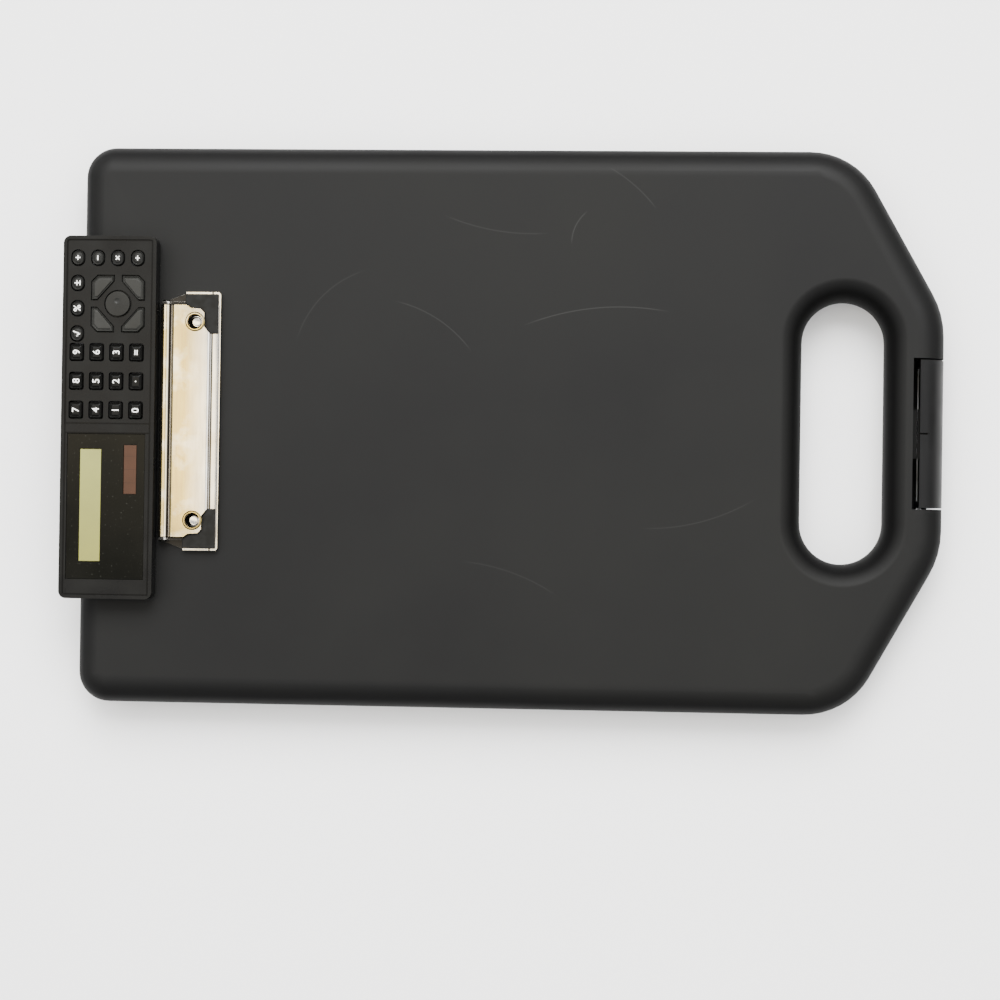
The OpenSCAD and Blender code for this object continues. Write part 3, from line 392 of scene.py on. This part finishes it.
def pad_ink():
    """White pad-printed ink: flat, and thinner where fingers have worn it."""
    made, tree, place = material("pad_ink")
    wear = put(tree, "ShaderNodeTexNoise", {"Vector": place, "Scale": per_mm(1.5), "Detail": 3.0})
    thin = put(tree, "ShaderNodeMapRange", {0: wear, 1: 0.55, 2: 0.75, 3: 0.0, 4: 0.5})
    tone = put(tree, "ShaderNodeMix", {
        "Factor": thin, "A": linear("#f2f2ee"), "B": linear("#8d8d88")}, data_type="RGBA")
    shader = put(tree, "ShaderNodeBsdfPrincipled", {
        "Base Color": tone, "Roughness": 0.55})
    put(tree, "ShaderNodeOutputMaterial", {"Surface": shader})
    return made


def studio_paper():
    """Seamless backdrop paper: matt and almost white."""
    made, tree, place = material("studio_paper")
    fibre = put(tree, "ShaderNodeTexNoise", {"Vector": place, "Scale": per_mm(3), "Detail": 2.0})
    tone = put(tree, "ShaderNodeMix", {
        "Factor": fibre, "A": linear("#f6f6f6"), "B": linear("#f8f8f8")}, data_type="RGBA")
    shader = put(tree, "ShaderNodeBsdfPrincipled", {
        "Base Color": tone, "Roughness": 0.9, "Specular IOR Level": 0.2})
    put(tree, "ShaderNodeOutputMaterial", {"Surface": shader})
    return made


# ---------------------------------------------------------------- meshes

def add_object(name, data):
    """A new object at the origin."""
    piece = bpy.data.objects.new(name, data)
    bpy.context.scene.collection.objects.link(piece)
    return piece


@contextmanager
def reshaping(mesh):
    """Opens a mesh for work on its faces, and writes it back at the end."""
    work = bmesh.new()
    work.from_mesh(mesh)
    yield work
    work.to_mesh(mesh)
    work.free()


def plain_mesh(piece):
    """What an object's curve or modifiers give, as a mesh of its own."""
    graph = bpy.context.evaluated_depsgraph_get()
    return bpy.data.meshes.new_from_object(piece.evaluated_get(graph))


def flatten(piece):
    """Turns what the piece's modifiers give into its plain mesh, and removes them."""
    mesh = plain_mesh(piece)
    piece.modifiers.clear()
    piece.data = mesh
    mesh.name = piece.name
    return piece


def smooth(mesh):
    """Shades every face of a mesh smooth."""
    mesh.polygons.foreach_set("use_smooth", [True] * len(mesh.polygons))


def merged_copy(node, name, convex=False):
    """A copy of a solid as one closed mesh with whole flat faces, or ones cut until convex."""
    mesh = NODES[node].data.copy()
    mesh.name = name
    mesh.materials.clear()
    with reshaping(mesh) as work:
        bmesh.ops.remove_doubles(work, verts=work.verts, dist=SAME_POINT)
        bmesh.ops.dissolve_limit(work, angle_limit=FLAT, verts=work.verts, edges=work.edges)
        if convex:
            bmesh.ops.connect_verts_concave(work, faces=work.faces)
    return mesh


def round_edges(piece, radius, steps=2):
    """Rounds every sharp edge by a radius in millimetres and keeps the flat faces flat."""
    smooth(piece.data)
    bevel = piece.modifiers.new("edge_radius", "BEVEL")
    bevel.width = radius * MM
    bevel.segments = steps
    bevel.limit_method = "ANGLE"
    bevel.angle_limit = SHARP
    bevel.miter_outer = "MITER_ARC"
    shade = piece.modifiers.new("flat_faces", "WEIGHTED_NORMAL")
    shade.weight = 80
    return flatten(piece)


def settle(piece, node, finish):
    """Puts a finished piece on its solid's body, with its finish as its one material."""
    piece.data.materials.clear()
    piece.data.materials.append(finish)
    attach(piece, BODY_OF[node])
    return piece


def stand_in(piece, node, finish):
    """Puts a finished piece in its solid's place."""
    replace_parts(settle(piece, node, finish), node)
    return piece


def soften(node, name, radius, finish, steps=2, convex=False):
    """A piece shaped as its solid, with its sharp edges rounded, in the solid's place."""
    piece = add_object(name, merged_copy(node, name, convex))
    return stand_in(round_edges(piece, radius, steps), node, finish)


def dress(node, finish):
    """Keeps a solid as it is and gives it its finish."""
    NODES[node].data.materials.clear()
    NODES[node].data.materials.append(finish)


def turning_tree():
    """Geometry Nodes that turn a drawn profile about an upright axis, one at each loose point."""
    tree = bpy.data.node_groups.new("turned_fasteners", "GeometryNodeTree")
    for name, way, kind in (("Geometry", "INPUT", "Geometry"), ("Segments", "INPUT", "Int"),
                            ("Swing", "INPUT", "Float"), ("Finish", "INPUT", "Material"),
                            ("Fasteners", "OUTPUT", "Geometry")):
        tree.interface.new_socket(name, in_out=way, socket_type="NodeSocket" + kind)
    given = put(tree, "NodeGroupInput").outputs
    joined = put(tree, "GeometryNodeInputMeshVertexNeighbors").outputs["Vertex Count"]
    parts = put(tree, "GeometryNodeSeparateGeometry", {
        "Geometry": given["Geometry"], "Selection": joined}).outputs
    profile = put(tree, "GeometryNodeMeshToCurve", {"Mesh": parts["Selection"]})
    circle = put(tree, "GeometryNodeCurvePrimitiveCircle", {
        "Resolution": given["Segments"], "Radius": given["Swing"]})
    turned_body = put(tree, "GeometryNodeCurveToMesh", {"Curve": circle, "Profile Curve": profile})
    closed = put(tree, "GeometryNodeMergeByDistance", {
        "Geometry": turned_body, "Distance": SAME_POINT})
    places = put(tree, "GeometryNodeMeshToPoints", {"Mesh": parts["Inverted"]})
    rows = put(tree, "GeometryNodeInstanceOnPoints", {"Points": places, "Instance": closed})
    real = put(tree, "GeometryNodeRealizeInstances", {"Geometry": rows})
    done = put(tree, "GeometryNodeSetMaterial", {"Geometry": real, "Material": given["Finish"]})
    put(tree, "NodeGroupOutput", {"Fasteners": done})
    return tree


# profiles of turned pieces: distance from the axis and height, in millimetres
RIVET = ((0, 7.2), (1.4, 7.18), (2.3, 7.08), (2.65, 6.85), (2.8, 6.4), (2.8, 5.0), (1.5, 5.0),
         (1.5, 0.85), (2.6, 0.8), (2.6, 0.4), (2.2, 0.05), (0, 0))
COLLAR = ((3.3, -0.3), (3.3, 0.2), (3.5, 0.45), (3.85, 0.45), (4.4, 0.0), (4.4, -0.3), (3.3, -0.3))
SADDLE_SCREW = ((0, 6.4), (0.7, 6.4), (1.0, 7.0), (2.5, 7.0), (1.4, 6.0), (1.4, 0.3), (1.1, 0),
                (0, 0))
CASE_SCREW = ((0, 0.4), (0.5, 0.4), (0.7, 0), (1.3, 0), (1.5, 0.15), (1.5, 0.7), (0.8, 0.7),
              (0.8, 6.0), (0, 6.4))
SEGMENTS = 32                # sides of a turned piece
SWING = 10                   # radius of the circle that a profile is carried round, in millimetres


def widest(profile):
    """The largest radius of a turned piece, in metres."""
    return max(radius for radius, height in profile) * MM


def turned(name, profile, places, finish):
    """Like pieces turned from one profile, standing at the places given in metres."""
    ring = profile[0] == profile[-1]
    drawn = profile[:-1] if ring else profile
    chain = [((radius - SWING) * MM, -height * MM, 0.0) for radius, height in drawn]
    last = len(chain)
    edges = [(i, (i + 1) % last) for i in range(last if ring else last - 1)]
    mesh = bpy.data.meshes.new(name)
    mesh.from_pydata(chain + places, edges, [])
    piece = add_object(name, mesh)
    tree = turning_tree()
    turning = piece.modifiers.new("turning", "NODES")
    turning.node_group = tree
    for key, value in (("Segments", SEGMENTS), ("Swing", SWING * MM), ("Finish", finish)):
        turning[tree.interface.items_tree[key].identifier] = value
    flatten(piece)
    with reshaping(piece.data) as work:
        bmesh.ops.recalc_face_normals(work, faces=work.faces)
    smooth(piece.data)
    piece.data.set_sharp_from_angle(angle=SHARP)
    return piece


# ---------------------------------------------------------------- settings

class CaseSettings(bpy.types.PropertyGroup):
    """Sizes and colours of the case."""
    edge_radius: FloatProperty(
        name="Edge radius", description="Radius of the moulded edges, in millimetres",
        default=0.35, min=0.05, max=0.6)
    latch_overhang: FloatProperty(
        name="Latch overhang",
        description="How far each end of the latch's cover stands past its solid, in millimetres",
        default=1.0, min=0.0, max=1.2)
    scratches: FloatProperty(
        name="Scratches", description="How strongly the hair scratches show",
        default=1.0, min=0.0, max=2.0, subtype="FACTOR")
    case_colour: FloatVectorProperty(
        name="Case colour", description="Colour of the case's plastic",
        default=linear("#0f0f0f"), size=4, subtype="COLOR")
    case_rubbed: FloatVectorProperty(
        name="Rubbed colour", description="Colour where the case is rubbed",
        default=linear("#131312"), size=4, subtype="COLOR")


class ClipSettings(bpy.types.PropertyGroup):
    """Colours of the clip."""
    plate_colour: FloatVectorProperty(
        name="Plate colour", description="Colour of the plating",
        default=linear("#e4e0d8"), size=4, subtype="COLOR")
    top_colour: FloatVectorProperty(
        name="Worn colour", description="Colour of the yellowed top of the clip",
        default=linear("#c6b070"), size=4, subtype="COLOR")
    rubber_colour: FloatVectorProperty(
        name="Rubber colour", description="Colour of the corner grips",
        default=linear("#0e0e0d"), size=4, subtype="COLOR")


class CalculatorSettings(bpy.types.PropertyGroup):
    """Sizes and colours of the calculator."""
    key_shoulder: FloatProperty(
        name="Key shoulder", description="Width of the keys' bevel, in millimetres",
        default=0.5, min=0.1, max=0.8)
    key_draft: FloatProperty(
        name="Key draft", description="How far each side of a key leans in, in millimetres",
        default=0.45, min=0.0, max=0.6)
    key_crown: FloatProperty(
        name="Key crown", description="How far each key's top bulges, in millimetres",
        default=0.15, min=0.0, max=0.3)
    legend_size: FloatProperty(
        name="Legend size", description="Height of the key legends, in millimetres",
        default=4.4, min=1.0, max=6.0)
    shell_colour: FloatVectorProperty(
        name="Shell colour", description="Colour of the calculator's case",
        default=linear("#0f0f0f"), size=4, subtype="COLOR")
    key_colour: FloatVectorProperty(
        name="Key colour", description="Colour of the square keys",
        default=linear("#0c0c0b"), size=4, subtype="COLOR")
    dial_colour: FloatVectorProperty(
        name="Dial colour", description="Colour of the oval keys and the dial",
        default=linear("#1a1a19"), size=4, subtype="COLOR")


class StageSettings(bpy.types.PropertyGroup):
    """Camera, light and floor."""
    camera_place: FloatVectorProperty(
        name="Camera", description="Where the camera stands",
        default=(0.0671, -0.0405, 1.1117), unit="LENGTH", size=3)
    camera_aim: FloatVectorProperty(
        name="Aim", description="The point that the camera looks at",
        default=(-0.0034, -0.0321, 0.014), unit="LENGTH", size=3)
    camera_roll: FloatProperty(
        name="Roll", description="Turn of the camera about its own axis",
        default=math.radians(0.86), subtype="ANGLE")
    lens: FloatProperty(
        name="Lens", description="Focal length, in millimetres", default=87.0, min=20, max=200)
    floor_size: FloatProperty(
        name="Floor size", description="Side of the floor", default=24.0, unit="LENGTH")
    window_power: FloatProperty(
        name="Window light", description="Power of the light beside the box",
        default=115.0, unit="POWER")
    strip_power: FloatProperty(
        name="Strip light", description="Power of the light over the clip",
        default=5.5, unit="POWER")
    room_light: FloatProperty(
        name="Room light", description="Brightness of the room's walls", default=4.8)
    ceiling_share: FloatProperty(
        name="Ceiling share", description="Brightness of the ceiling, as a share of the walls'",
        default=0.25, subtype="FACTOR")


# ---------------------------------------------------------------- pieces

LATCH_END = 2                # corners this close to an end of the latch stretch, in millimetres


class CLIPBOARD_OT_case(bpy.types.Operator):
    """Finish the two shells of the case and the latch"""
    bl_idname = "clipboard.case"
    bl_label = "Case and Latch"

    def execute(self, context):
        look = context.scene.clipboard_case
        # the case's plastic carries painted shade on faces that turn away from upward
        plastic = moulded_polypropylene(look)
        soften("lid_shell", "lid_cover", look.edge_radius, plastic)
        soften("base_shell", "base_tray", look.edge_radius, plastic)
        satin = moulded_abs("latch_abs", linear("#0b0b0b"), linear("#0f0f0f"), 0.42, 0.1)
        latch = soften("latch", "latch_cover", look.edge_radius, satin)
        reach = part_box("latch")[1].y - LATCH_END * MM
        for corner in latch.data.vertices:
            if abs(corner.co.y) > reach:
                corner.co.y += math.copysign(look.latch_overhang * MM, corner.co.y)
        return {"FINISHED"}


MIDDLE_SCREWS = -2.4         # place of the calculator's middle pair of screws, in millimetres


class CLIPBOARD_OT_metal(bpy.types.Operator):
    """Finish the pins, rod, spring, washers, screws and battery"""
    bl_idname = "clipboard.metal"
    bl_label = "Pins and Screws"

    def execute(self, context):
        steel = drawn_steel("zinc_plate", "#a4a4a2", "#c8c7c3")
        blackened = drawn_steel("black_oxide", "#101010", "#1c1c1b")
        for node in ("hinge_pin", "clip_washers", "clip_spring", "calc_battery",
                     "calc_battery_contact"):
            dress(node, steel)
        for node in ("latch_pin", "clip_rod"):
            dress(node, blackened)
        low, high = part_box("bracket_screws")
        inset = widest(SADDLE_SCREW)
        places = [((low.x + high.x) / 2, y, low.z) for y in (low.y + inset, high.y - inset)]
        screws = turned("saddle_screws", SADDLE_SCREW, places, steel)
        stand_in(screws, "bracket_screws", steel)
        low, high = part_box("calc_screws")
        inset = widest(CASE_SCREW)
        places = [(x, y, low.z) for x in (low.x + inset, high.x - inset)
                  for y in (low.y + inset, MIDDLE_SCREWS * MM, high.y - inset)]
        screws = turned("case_screws", CASE_SCREW, places, steel)
        stand_in(screws, "calc_screws", steel)
        return {"FINISHED"}


class CLIPBOARD_OT_clip(bpy.types.Operator):
    """Make the paper clip: base plate, jaw, grips and rivets"""
    bl_idname = "clipboard.clip"
    bl_label = "Paper Clip"

    def execute(self, context):
        look = context.scene.clipboard_clip
        # the nickel carries painted shade along the clip's folds
        nickel = nickel_plate(look.plate_colour, look.top_colour)
        rubber = moulded_rubber("moulded_rubber", look.rubber_colour, linear("#171716"))
        # painted shade on the plate's flat faces and a painted highlight on its edges
        soften("clip_base", "clip_plate", 0.15, shaded_nickel())
        soften("clip_jaw", "clip_flap", 0.15, nickel)
        soften("clip_grips", "clip_corners", 1.1, rubber, steps=3)
        low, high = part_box("clip_rivets")
        middle, inset = (low.x + high.x) / 2, widest(RIVET)
        places = [(middle, low.y + inset, low.z), (middle, high.y - inset, low.z)]
        stand_in(turned("rivets", RIVET, places, nickel), "clip_rivets", nickel)
        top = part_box("clip_jaw")[1].z
        collars = turned("rivet_collars", COLLAR, [(x, y, top) for x, y, z in places], nickel)
        settle(collars, "clip_jaw", nickel)
        return {"FINISHED"}


# lines of painted shade on the calculator's face, in millimetres: how far inside its rim they run
# round it, and where two more cross it
RIM_SHADE_LINE = 1.95
CROSS_SHADE_LINES = (-4.7, -0.4)


class CLIPBOARD_OT_calculator(bpy.types.Operator):
    """Make the calculator's case, window, display and inner pieces"""
    bl_idname = "clipboard.calculator"
    bl_label = "Calculator"

    def execute(self, context):
        look = context.scene.clipboard_calculator
        worn, roughness, shine = linear("#131312"), 0.3, 0.085
        shell = moulded_abs("moulded_abs", look.shell_colour, worn, roughness, shine)
        # painted shade: the face's material carries narrow near-black lines as shade
        face = moulded_abs("abs_with_painted_shade_lines", look.shell_colour, worn, roughness, shine, self.painted_shade_lines())
        silicone = moulded_rubber("silicone_rubber", linear("#4c4c50"), linear("#5c5c60"))
        soften("calc_front_case", "calculator_face", 0.3, face)
        soften("calc_back_case", "calculator_back", 0.5, shell)
        soften("calc_bracket", "calculator_saddle", 0.3, shell)
        soften("calc_battery_door", "battery_door", 0.15, shell)
        soften("calc_window", "display_window", 0.12, polished_acrylic(), convex=True)
        # the display film is painted paler towards the window light
        soften("calc_lcd", "display_glass", 0.1, polariser_film())
        soften("calc_solar_cell", "solar_strip", 0.1, amorphous_silicon())
        dress("calc_pcb", solder_mask())
        dress("calc_keypad_mat", silicone)
        dress("adhesive_pads", silicone)
        return {"FINISHED"}

    def painted_shade_lines(self):
        """The lines of painted shade on the face: four along its rim and two across it."""
        low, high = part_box("calc_front_case")
        middle = (low + high) / 2
        reach = (high - low) / 2 - Vector((RIM_SHADE_LINE, RIM_SHADE_LINE, 0)) * MM
        rows = [middle.y - reach.y, *(row * MM for row in CROSS_SHADE_LINES), middle.y + reach.y]
        sides = [("X", middle.x + side * reach.x, "Y", middle.y, reach.y) for side in (-1, 1)]
        return sides + [("Y", row, "X", middle.x, reach.x) for row in rows]


PRINT = 0.03                 # thickness of the printed legends, in millimetres
BOLD = 0.04                  # how much the strokes of the legends are thickened, in millimetres
KEY_EDGE = 0.12              # radius of a key's edges, in millimetres
SHOULDER_DROP = 0.7          # fall of a key's shoulder, as a share of its width
# the rings that make a key's crown: how far each one is drawn in, in millimetres, and how far it
# stays under the top, as a share of the crown
CROWN_RINGS = ((0.6, 0.4), (0.6, 0.0))

SQUARE_KEYS = [*("key_%d" % digit for digit in range(10)), "key_point", "key_equals"]
# the digits and signs of arithmetic on the square and the oval keys
SIGNS = {"key_7": "7", "key_8": "8", "key_9": "9", "key_4": "4", "key_5": "5", "key_6": "6",
         "key_1": "1", "key_2": "2", "key_3": "3", "key_0": "0", "key_point": ".",
         "key_equals": "=", "key_root": "√", "key_percent": "%", "key_sign": "±",
         "key_clear": "+", "key_recall": "−", "key_store": "×", "key_erase": "÷"}


class CLIPBOARD_OT_keys(bpy.types.Operator):
    """Make the keys, each with leaning sides, a shoulder and a crown, and print their legends"""
    bl_idname = "clipboard.keys"
    bl_label = "Keys and Legends"

    def execute(self, context):
        look = context.scene.clipboard_calculator
        square = moulded_abs("key_abs", look.key_colour, linear("#10100f"), 0.3, 0.085)
        oval = moulded_abs("dial_abs", look.dial_colour, linear("#20201e"), 0.32, 0.09)
        corner = moulded_abs("corner_abs", linear("#232321"), linear("#292927"), 0.34, 0.09)
        ink = pad_ink()
        for node in sorted(name for name in BODY_OF if name.startswith("key_")):
            if node != "key_centre":
                plastic = square if node in SQUARE_KEYS else oval if node in SIGNS else corner
                self.cap(node, look, plastic)
        dial = soften("key_centre", "dial_cap", look.key_shoulder, oval, steps=3)
        low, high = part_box("key_centre")
        middle = (low + high) / 2
        slimmer = 1 - 2 * look.key_draft * MM / (high.x - low.x)
        dial.data.transform(Matrix.Translation(middle) @ Matrix.Diagonal((slimmer, slimmer, 1, 1))
                            @ Matrix.Translation(-middle))
        for node, sign in SIGNS.items():
            self.legend(node, sign, look, ink)
        return {"FINISHED"}

    def cap(self, node, look, plastic):
        """One key as its solid, with leaning sides, its top edge cut back and its top crowned."""
        shoulder = look.key_shoulder * MM
        low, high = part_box(node)
        middle = (low + high) / 2
        middle.z = high.z
        mesh = merged_copy(node, node + "_cap")
        with reshaping(mesh) as work:
            top = max(work.faces, key=lambda face: face.calc_center_median().z)
            self.draw_in(top, middle, look.key_draft)
            rim = list(top.verts)
            bmesh.ops.inset_region(work, faces=[top], thickness=shoulder, use_even_offset=True)
            for corner in rim:
                corner.co.z -= SHOULDER_DROP * shoulder + look.key_crown * MM
            for corner in top.verts:
                corner.co.z -= look.key_crown * MM
            for draw, height in CROWN_RINGS:
                bmesh.ops.inset_region(
                    work, faces=[top], thickness=SAME_POINT, use_even_offset=True)
                self.draw_in(top, middle, draw)
                for corner in top.verts:
                    corner.co.z = middle.z - (height * look.key_crown + PRINT) * MM
        stand_in(round_edges(add_object(node + "_cap", mesh), KEY_EDGE), node, plastic)

    def draw_in(self, face, middle, draft):
        """Moves a face's corners towards the middle, the outermost by this many millimetres."""
        reach = [max(abs((corner.co - middle)[axis]) for corner in face.verts) for axis in (0, 1)]
        for corner in face.verts:
            for axis in (0, 1):
                corner.co[axis] -= (corner.co - middle)[axis] / reach[axis] * draft * MM

    def legend(self, node, sign, look, ink):
        """One printed legend on the crown of its key; its top is towards the hinge end."""
        curve = bpy.data.curves.new(node + "_sign", "FONT")
        curve.body = sign
        curve.size = look.legend_size * MM
        curve.extrude = PRINT / 2 * MM
        curve.offset = BOLD * MM
        text = add_object(node + "_sign", curve)
        mesh = plain_mesh(text)
        bpy.data.objects.remove(text)
        low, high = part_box(node)
        across = [corner.co.x for corner in mesh.vertices]
        upward = [corner.co.y for corner in mesh.vertices]
        middle = Vector(((min(across) + max(across)) / 2, (min(upward) + max(upward)) / 2, 0))
        spot = Vector(((low.x + high.x) / 2, (low.y + high.y) / 2, high.z - PRINT / 2 * MM))
        mesh.transform(Matrix.Translation(spot) @ Matrix.Rotation(math.pi / 2, 4, "Z")
                       @ Matrix.Translation(-middle))
        with reshaping(mesh) as work:
            bmesh.ops.remove_doubles(work, verts=work.verts, dist=SAME_POINT)
            bmesh.ops.recalc_face_normals(work, faces=work.faces)
        settle(add_object(node + "_legend", mesh), node, ink)


class CLIPBOARD_OT_stage(bpy.types.Operator):
    """Set the floor, lights and camera"""
    bl_idname = "clipboard.stage"
    bl_label = "Stage"

    def execute(self, context):
        look = context.scene.clipboard_stage
        half = look.floor_size / 2
        below = -0.05 * MM       # the box rests on the floor without sharing a face with it
        corners = [(x * half, y * half, below) for x, y in ((-1, -1), (1, -1), (1, 1), (-1, 1))]
        mesh = bpy.data.meshes.new("floor")
        mesh.from_pydata(corners, [], [(0, 1, 2, 3)])
        mesh.materials.append(studio_paper())
        add_object("floor", mesh)
        self.lamp("window_light", (0.1, 1.6, 1.9), (1.6, 1.6), look.window_power)
        strip = self.lamp("strip_light", (-0.45, 0.1, 2.0), (0.3, 1.2), look.strip_power)
        strip.color = linear("#ffeec8")[:3]
        self.sky(context, look)
        self.camera(context, look)
        return {"FINISHED"}

    def lamp(self, name, where, size, power):
        """A soft rectangular lamp that shines on the origin; gives its light."""
        light = bpy.data.lights.new(name, "AREA")
        light.shape = "RECTANGLE"
        light.size, light.size_y = size
        light.energy = power
        holder = add_object(name, light)
        holder.location = where
        holder.rotation_euler = (-Vector(where)).to_track_quat("-Z", "Y").to_euler()
        return light

    def sky(self, context, look):
        """A room that is bright towards the window, and darker low down and straight overhead."""
        world = bpy.data.worlds.new("studio")
        world.use_nodes = True
        tree = world.node_tree
        tree.nodes.clear()
        around = put(tree, "ShaderNodeTexCoord").outputs["Generated"]
        ray = put(tree, "ShaderNodeSeparateXYZ", {0: around}).outputs
        height = put(tree, "ShaderNodeMapRange", {
            0: ray["Z"], 1: 0.25, 2: 0.7, 3: 0.03, 4: look.room_light})
        side = put(tree, "ShaderNodeMapRange", {0: ray["Y"], 1: -0.7, 2: 0.7, 3: 0.35, 4: 1.4})
        over = put(tree, "ShaderNodeMapRange", {
            0: ray["Z"], 1: 0.85, 2: 0.96, 3: 1.0, 4: look.ceiling_share})
        level = put(tree, "ShaderNodeMath", {0: height, 1: side}, operation="MULTIPLY")
        level = put(tree, "ShaderNodeMath", {0: level, 1: over}, operation="MULTIPLY")
        glow = put(tree, "ShaderNodeBackground", {"Color": linear("#ffffff"), "Strength": level})
        put(tree, "ShaderNodeOutputWorld", {"Surface": glow})
        context.scene.world = world

    def camera(self, context, look):
        """The camera at the photograph's viewing angle."""
        data = bpy.data.cameras.new("camera")
        data.lens = look.lens
        data.sensor_width = 36.0
        data.clip_end = 20.0
        camera = add_object("camera", data)
        where = Vector(look.camera_place)
        back = (where - Vector(look.camera_aim)).normalized()
        right = Vector((0.0, 1.0, 0.0)).cross(back).normalized()
        turn = Matrix((right, back.cross(right), back)).transposed().to_4x4()
        roll = Matrix.Rotation(look.camera_roll, 4, "Z")
        camera.matrix_world = Matrix.Translation(where) @ turn @ roll
        context.scene.camera = camera


class CLIPBOARD_PT_panel(bpy.types.Panel):
    """Lists the settings and the steps"""
    bl_idname = "CLIPBOARD_PT_panel"
    bl_label = "Clipboard Box"
    bl_space_type = "VIEW_3D"
    bl_region_type = "UI"
    bl_category = "Clipboard Box"

    def draw(self, context):
        for group in SETTINGS:
            box = self.layout.box()
            settings = getattr(context.scene, group)
            for key in settings.__annotations__:
                box.prop(settings, key)
        for step in STEPS:
            self.layout.operator(step.bl_idname)


SETTINGS = {"clipboard_case": CaseSettings, "clipboard_clip": ClipSettings,
            "clipboard_calculator": CalculatorSettings, "clipboard_stage": StageSettings}
STEPS = (CLIPBOARD_OT_case, CLIPBOARD_OT_metal, CLIPBOARD_OT_clip, CLIPBOARD_OT_calculator,
         CLIPBOARD_OT_keys, CLIPBOARD_OT_stage)


def register():
    for kind in (*SETTINGS.values(), *STEPS, CLIPBOARD_PT_panel):
        bpy.utils.register_class(kind)
    for group, kind in SETTINGS.items():
        setattr(bpy.types.Scene, group, PointerProperty(type=kind))


def unregister():
    for group in SETTINGS:
        delattr(bpy.types.Scene, group)
    for kind in (CLIPBOARD_PT_panel, *reversed(STEPS), *SETTINGS.values()):
        bpy.utils.unregister_class(kind)


def main():
    register()
    for step in STEPS:
        area, name = step.bl_idname.split(".")
        getattr(getattr(bpy.ops, area), name)()


if __name__ == "__main__":
    main()
